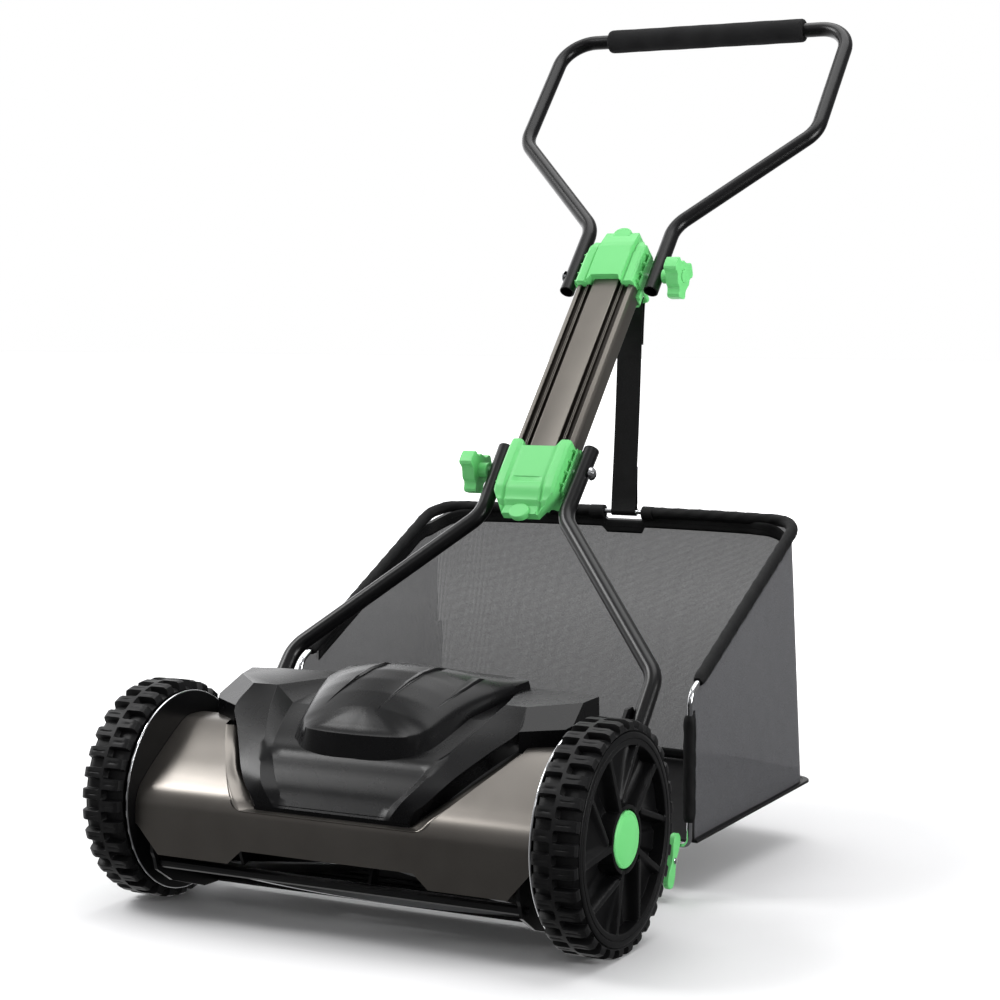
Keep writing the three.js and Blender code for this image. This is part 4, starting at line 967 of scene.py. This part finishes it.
def lower_height(ax, s):
    crown = 23.0 if s > -38 else lerp(23.0, 17.5, smooth((-38 - s) / 18))
    if s < -56:
        crown = lerp(17.5, 11.5, min((-56 - s) / 5, 1))
    panel = crown - (1.3 * smooth((4.6 - abs(s + 28)) / 1.2) if ax < 19 else 0)
    top = crown + 2.4 * smooth((30 - abs(s)) / 30 + 0.6)
    shoulder = top - 3.2 * smooth((abs(ax - 33.5) - 4) / 5)
    return max(flange(ax, lerp(panel, shoulder, smooth((ax - 22.2) / 3.4))), 2)


def lower_low(ax):
    return -73 if ax < 24.6 else max(lerp(-73, -44, (ax - 24.6) / 16.6), -73) if ax < 41.5 else -35


def lower_high(ax):
    return 24 if ax < 22.5 else (lerp(24, 33.5, smooth((ax - 22.2) / 4)) if ax < 41.5 else 30)


def upper_height(ax, s):
    crown = 24.6 if s < 36 else lerp(24.6, 17.5, min((s - 36) / 26, 1))
    panel = crown - (0.9 if 34.6 < s < 37.4 else 0)
    step = 3.0 if s < 26 else 4.6
    shoulder = crown - step - 2.6 * smooth((abs(ax - 34) - 4) / 4)
    return max(flange(ax, lerp(panel, shoulder, smooth((ax - 24.0) / 2.6))), 2)


def upper_low(ax):
    return lerp(-17, -26, smooth((ax - 19) / 5)) if ax < 41.5 else -22


def upper_high(ax):
    return 62 if ax < 24 else (lerp(62, 46, smooth((ax - 23.6) / 3)) if ax < 38
        else (40 if ax < 41.5 else 32))


clamp_front("lower_clamp_front_moulding", "lower_clamp_front", "column", LOWER_BOLT,
    stations_of((-24, -32.4, -38, -56, -61), -73, 33.5), lower_height, lower_low, lower_high,
    (25, 8, -9, -27))
clamp_front("upper_clamp_front_moulding", "upper_clamp_front", "column", UPPER_BOLT,
    stations_of((36, 26, 46), -26, 62), upper_height, upper_low, upper_high, (27, 11, -5, -19))


def tab_disc(name, centre_s, body, low, high, radius):
    outline = [(u, v * 0.8) for u, v in circle(radius, 32)]
    piece(name, prism(outline, low, high, lambda u, v, w: on_handle(u, centre_s + v, w)), GREEN, body,
        bevel=1.4, segments=3)


tab_disc("lower_clamp_tab", LOWER_BOLT - 70, "column", 5.5, 14.5, 13.5)
tab_disc("upper_clamp_tab", UPPER_BOLT + 60, "column", 8, 19.5, 13)


def knob(name, node, body, s, sign):
    """Three flat-ended lobes with concave valleys between them, and a short boss behind."""
    outline = []
    for k in range(3):
        turn = radians(90 + 120 * k)
        lobe = [(-17, 13.5), (-11.5, 17.5), (-10.3, 22), (-10.8, 27), (-8.6, 30.4), (-4, 31.2), (4, 31.2),
            (8.6, 30.4), (10.8, 27), (10.3, 22), (11.5, 17.5)]
        for u, v in lobe:
            outline.append((v * cos(turn) - u * sin(turn), v * sin(turn) + u * cos(turn)))
    outline = [(u * 0.94, v * 0.94) for u, v in outline]

    def at(u, v, w):
        return on_handle(sign * w, s + u, v)

    piece(name, merged(prism(outline, 82.5, 100, at), prism(circle(9.5, 32), 71.2, 83, at),
        prism(circle(8.55, 32), 99.9, 101.2, at)), GREEN, body, (node,), angle=38, bevel=2.2, segments=4)


knob("lower_knob_moulding", "lower_knob", "lower_knob", LOWER_BOLT, -1)
knob("upper_knob_moulding", "upper_knob", "upper_knob", UPPER_BOLT, 1)

# ---- grass catcher
BAG_HALF, BAG_FRONT, SHOULDER_Z, BAG_REAR, BAG_TOP, BOW, WIRE = 265, 262, 236, 606, 408, 38, 3.4
LEAN, FLARE, FLOOR_Z, FLOOR_SLOPE = 0.055, 0.036, 64.5, 0.0345
NOTCH = (-27, 35)


def bow_at(x):
    return BOW * (1 - (x / BAG_HALF) ** 2)


def frame_path():
    """The wire's centre line, with its corners rounded."""
    half = [((224, BAG_FRONT, 60), 0), ((BAG_HALF, BAG_FRONT, 60), 9), ((BAG_HALF, BAG_FRONT, SHOULDER_Z),
        22), ((BAG_HALF, BAG_REAR, BAG_TOP), 40), ((130, BAG_REAR + bow_at(130), BAG_TOP), 400)]
    middle = [((0, BAG_REAR + BOW, BAG_TOP), 500)]
    other = [((-x, y, z), r) for (x, y, z), r in reversed(half)]
    return rounded([(place(*at), r) for at, r in half + middle + other], 10)


def resampled(path, step):
    out = [path[0]]
    left = step
    for a, b in zip(path, path[1:]):
        length = (b - a).length
        at = 0.0
        while length - at >= left:
            at += left
            out.append(a.lerp(b, at / length))
            left = step
        left -= length - at
    out.append(path[-1])
    return out


WIRE_PATH = frame_path()
piece("catcher_frame_wire", tube(WIRE_PATH, WIRE, 16), CHROME, "catcher", ("catcher_frame",), angle=50)

DENSE = resampled(WIRE_PATH, 0.004)


def puckered(angle, at):
    return 1 + 0.04 * sin(3 * angle + at * 0.9) + 0.024 * sin(at * 2.3 + 2 * angle)


def sleeve(name, path, radius):
    """A sewn cloth sleeve round the wire, slightly uneven, with its hem closed at both ends."""
    rows = []
    sides = 18
    up = Vector((0, 0, 1))
    for i, p in enumerate(path):
        tangent = tangent_at(path, i)
        side = tangent.cross(up if abs(tangent.z) < 0.9 else Vector((0, 1, 0))).normalized()
        other = tangent.cross(side)
        end = min(i, len(path) - 1 - i)
        grow = 0.72 if end == 0 else (0.94 if end == 1 else 1)
        ring = []
        for k in range(sides):
            angle = 2 * pi * k / sides
            r = radius / 1000 * grow * puckered(angle, i)
            ring.append(p + side * cos(angle) * r + other * sin(angle) * r)
        rows.append(ring)
    return piece(name, capped(rows), WEBBING, "catcher", angle=60)


for side, sign in SIDES:
    post = [place(sign * BAG_HALF, BAG_FRONT, z) for z in range(88, 214, 4)]
    sleeve(f"catcher_post_sleeve_{side}", post, 7.3)
    slope = [p for p in DENSE if p.z * 1000 > 246 and (p.x * 1000 > NOTCH[1] if sign > 0 else p.x
        * 1000 < NOTCH[0])]
    sleeve(f"catcher_top_sleeve_{side}", slope, 7.6)


def floor_at(y):
    return FLOOR_Z + FLOOR_SLOPE * (y - BAG_FRONT)


def bag_plan():
    """The walls seen from above, from the left front edge round the back to the right front edge."""
    radius = 34
    half = [(BAG_HALF, lerp(BAG_FRONT + 3, BAG_REAR - radius, k / 18)) for k in range(19)]
    for k in range(1, 9):
        angle = radians(82) * k / 8
        half.append((BAG_HALF - radius * (1 - cos(angle)), BAG_REAR - radius + radius * sin(angle) + 2))
    x0 = half[-1][0]
    for k in range(1, 61):
        x = lerp(x0, 0, k / 60)
        half.append((x, lerp(half[26][1], BAG_REAR + bow_at(x), smooth(k / 12))))
    return half + [(-x, y) for x, y in reversed(half[:-1])]


def top_edge(x, y):
    slope = (BAG_TOP - SHOULDER_Z) / (BAG_REAR - BAG_FRONT)
    z = min(SHOULDER_Z + slope * (y - BAG_FRONT), BAG_TOP) - WIRE * 0.4
    notch = smooth((x - NOTCH[0] - 1) / 5) * smooth((NOTCH[1] + 1 - x) / 5) * smooth((y - 600) / 10)
    return z - 9 * smooth((abs(x) - 222) / 40) * smooth((y - 560) / 30) - 8 * notch


def wall_point(x, y, z):
    """Where the hanging cloth is: leaning out towards its foot, and bellied a little by its own weight."""
    lean = (BAG_TOP - z) * LEAN * smooth((y - BAG_FRONT) / 300)
    t = (z - FLOOR_Z) / (BAG_TOP - FLOOR_Z)
    belly = sin(pi * min(max(t, 0), 1))
    ripple = 0.8 * sin(x / 31 + z / 60) * belly * smooth((y - 590) / 20)
    px = x * (1 + FLARE * (1 - max(t, 0)) * smooth((y - BAG_FRONT) / 340))
    px += 1.6 * sin(y / 37 + z / 80) * belly if abs(x) > BAG_HALF - 1 else 0
    return place(px, y + lean + ripple, z)


PLAN = bag_plan()


def wall_sheet(name, low, high, material, inset=0.0, count=14, thickness=0.0, replaces=(), keep=lambda x,
        y: True, face_material=None, materials=None):
    rows = []
    for x, y in PLAN:
        if not keep(x, y):
            continue
        top, foot = top_edge(x, y), floor_at(y) + 0.6
        a, b = low(foot, top), high(foot, top)
        scale = 1 - inset / BAG_HALF
        rows.append([wall_point(x * scale, y - inset * smooth((y - 560) / 40), lerp(a, b, k / count))
            for k in range(count + 1)])
    return piece(name, grid(rows), material, "catcher", replaces, angle=60, thickness=thickness,
        face_material=face_material, materials=materials)


# Back faces take the shaded back copy; the left and right walls take the lit left and shaded right copies:
# painted light and shade by wall.
mesh_cloth = wall_sheet("catcher_mesh_walls", lambda foot, top: foot, lambda foot, top: top, MESH_BACK_SHADED,
    replaces=("catcher_bag",), materials=[MESH_BACK_SHADED, MESH_LEFT_LIT, MESH_RIGHT_SHADED], count=24,
    face_material=lambda polygon: 0 if abs(polygon.normal.x) < 0.7 else 1 if polygon.center.x > 0 else 2)
band = wall_sheet("catcher_top_band", lambda foot, top: top - 19, lambda foot, top: top - 2, WEBBING,
    inset=3.4, count=5, thickness=1.2, keep=lambda x, y: y > BAG_FRONT + 26)
hem = wall_sheet("catcher_foot_hem", lambda foot, top: foot + 0.4, lambda foot, top: foot + 13, WEBBING,
    inset=2.0, count=3, thickness=1.0)


def stitches(name, level):
    """Short raised thread stitches along the walls at one distance under the top edge."""
    inset, spacing, length = 4.9, 5.0, 3.0
    parts, path = [], []
    for x, y in PLAN:
        if y < BAG_FRONT + 28:
            continue
        scale = 1 - inset / BAG_HALF
        path.append(wall_point(x * scale, y - inset * smooth((y - 560) / 40), level(x, y)))
    points = resampled(path, spacing / 1000)
    for a, b in zip(points, points[1:]):
        if (b - a).length < 0.001:
            continue
        parts.append(tube([a, a.lerp(b, 0.25), a.lerp(b, length / spacing)], 0.45, 6))
    return piece(name, merged(*parts), WEBBING, "catcher", angle=60)


seams = [stitches("catcher_band_stitch_low", lambda x, y: top_edge(x, y) - 16.5),
    stitches("catcher_band_stitch_high", lambda x, y: top_edge(x, y) - 10)]


def tab(name, x):
    """A hook-and-loop tab that closes the sleeve's end round the bar."""
    path = [p for p in DENSE if x - 11 <= p.x * 1000 <= x + 11 and p.z > 0.39]
    rows = []
    for p in path:
        rows.append([p + Vector((0, 8.6 * u, 9.4 * v - 1.2)) / 1000 for u, v in circle(1, 20)])
    return piece(name, capped(rows), WEBBING, "catcher", angle=50, bevel=0.8)


for side, sign in SIDES:
    hem_rows = []
    for k in range(29):
        z = lerp(floor_at(BAG_FRONT) + 1, SHOULDER_Z - 20, k / 28)
        hem_rows.append([place(sign * (BAG_HALF + bulge), BAG_FRONT + y, z + 0.8 * sin(k * 1.9)) for y,
            bulge in ((2.5, 0.6), (4, 1.5), (8, 1.2), (12, 1.5), (13, 0.6))])
    piece(f"catcher_front_hem_{side}", grid(hem_rows), WEBBING, "catcher", angle=60,
        thickness=0.8)
tabs = [tab("catcher_tab_left", NOTCH[1] + 6), tab("catcher_tab_right", NOTCH[0] - 6)]

# ---- catcher tray
def tray():
    """A thin sheet floor with a raised, rolled lip and rounded rear corners."""
    lip, thick = 6, 3
    half = BAG_HALF + lip
    start = BAG_FRONT + 10
    foot = BAG_REAR + (BAG_TOP - FLOOR_Z) * LEAN + lip

    def outline(shrink):
        points = [(half - shrink, start + shrink)]
        corner = 24
        y_end = foot - shrink
        for k in range(9):
            angle = radians(78) * k / 8
            points.append((half - shrink - corner * (1 - cos(angle)), y_end - corner + corner * sin(angle)))
        x0 = points[-1][0]
        for k in range(1, 12):
            x = lerp(x0, 0, k / 12)
            points.append((x, y_end + BOW * (1 - (x / half) ** 2) - BOW * (1 - (x0 / half) ** 2)
                * (1 - k / 12)))
        points.append((0, y_end + BOW))
        return points + [(-x, y) for x, y in reversed(points[:-1])]

    rings = []
    for shrink, lift in ((0, -thick), (0, -0.6), (0.7, 0), (4.5, 0), (5.2, -0.9), (9, -1.1)):
        rings.append([place(x * (1 + FLARE * smooth((y - BAG_FRONT) / 340)), y, floor_at(y) + lift) for x,
            y in outline(shrink)])
    piece("catcher_tray_floor", capped(rings), DARK_PLASTIC, "catcher", ("catcher_tray",), angle=30)


tray()

# ---- strap
STRAP_X, STRAP_HALF = 4, 17.5
BAIL = (665.2, 688.2)


def ribbon(line, half, thick):
    """A flat tape of constant width that follows a line of (y, z) points."""
    rows = []
    for i, (y, z) in enumerate(line):
        y0, z0 = line[max(i - 1, 0)]
        y1, z1 = line[min(i + 1, len(line) - 1)]
        length = hypot(y1 - y0, z1 - z0)
        ny, nz = (z1 - z0) / length * thick / 2, -(y1 - y0) / length * thick / 2
        ring = []
        for side, bulge in ((1, 1), (0.94, 1.0), (0.5, 1.06), (0, 1.1), (-0.5, 1.06), (-0.94, 1.0), (-1, 1)):
            ring.append(place(STRAP_X + half * side, y + ny * bulge, z + nz * bulge))
        for side in (-1, -0.94, -0.5, 0, 0.5, 0.94, 1):
            ring.append(place(STRAP_X + half * side, y - ny, z - nz))
        rows.append(ring)
    return capped(rows)


def strap_line():
    bar_y, bar_z = BAG_REAR + BOW, BAG_TOP
    low = []
    for k in range(15):
        angle = radians(70 - 290 * k / 14)
        low.append((bar_y + 5.0 * cos(angle), bar_z + 5.0 * sin(angle)))
    start = [(bar_y + 3.4, bar_z + 60), (bar_y + 2.6, bar_z + 34), (bar_y + 3.2, bar_z + 12)]
    up = []
    for k in range(1, 17):
        t = k / 17
        up.append((lerp(bar_y - 4, BAIL[0] - 4.4, t) + 2.4 * sin(pi * t), lerp(bar_z + 6, BAIL[1] - 3, t)))
    top = []
    for k in range(13):
        angle = radians(185 - 235 * k / 12)
        top.append((BAIL[0] + 4.6 * cos(angle), BAIL[1] + 4.6 * sin(angle)))
    end = [(BAIL[0] + 1.4, BAIL[1] - 16), (BAIL[0] - 0.6, BAIL[1] - 36), (BAIL[0] - 2.2, BAIL[1] - 58)]
    return start + low + up + top + end


strap = piece("catcher_strap_tape", ribbon(strap_line(), STRAP_HALF, 1.5), WEBBING, "strap",
    ("catcher_strap",), angle=50)
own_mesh(strap)

# ---- floor
n = Nodes("pale_floor")
n.link(n.ramp(n.noise(2), (0.3, (0.75, 0.75, 0.755)), (0.7, (0.77, 0.77, 0.775))), "Base Color")
n.link(n.range(n.noise(9), 0.62, 0.72), "Roughness")
# The floor glows, faintly within half a metre and fully at 2.6 m from the middle: painted light that fades it
# to white far off.
distance = n.add("VectorMath", operation="LENGTH")
n.tree.links.new(n.coords, distance.inputs[0])
far = n.add("MapRange", Value=distance.outputs["Value"])
for key, value in {"From Min": 0.5, "From Max": 2.6, "To Min": 0.02, "To Max": 1.0}.items():
    far.inputs[key].default_value = value
n.link(far.outputs[0], "Emission Strength")
n.set(Emission_Color=(1, 1, 1, 1))
floor = mesh_object("floor", [(-30, -30, 0), (30, -30, 0), (30, 30, 0), (-30, 30, 0)], [(0, 1, 2, 3)])
floor.data.materials.append(n.material)
floor.visible_glossy = False
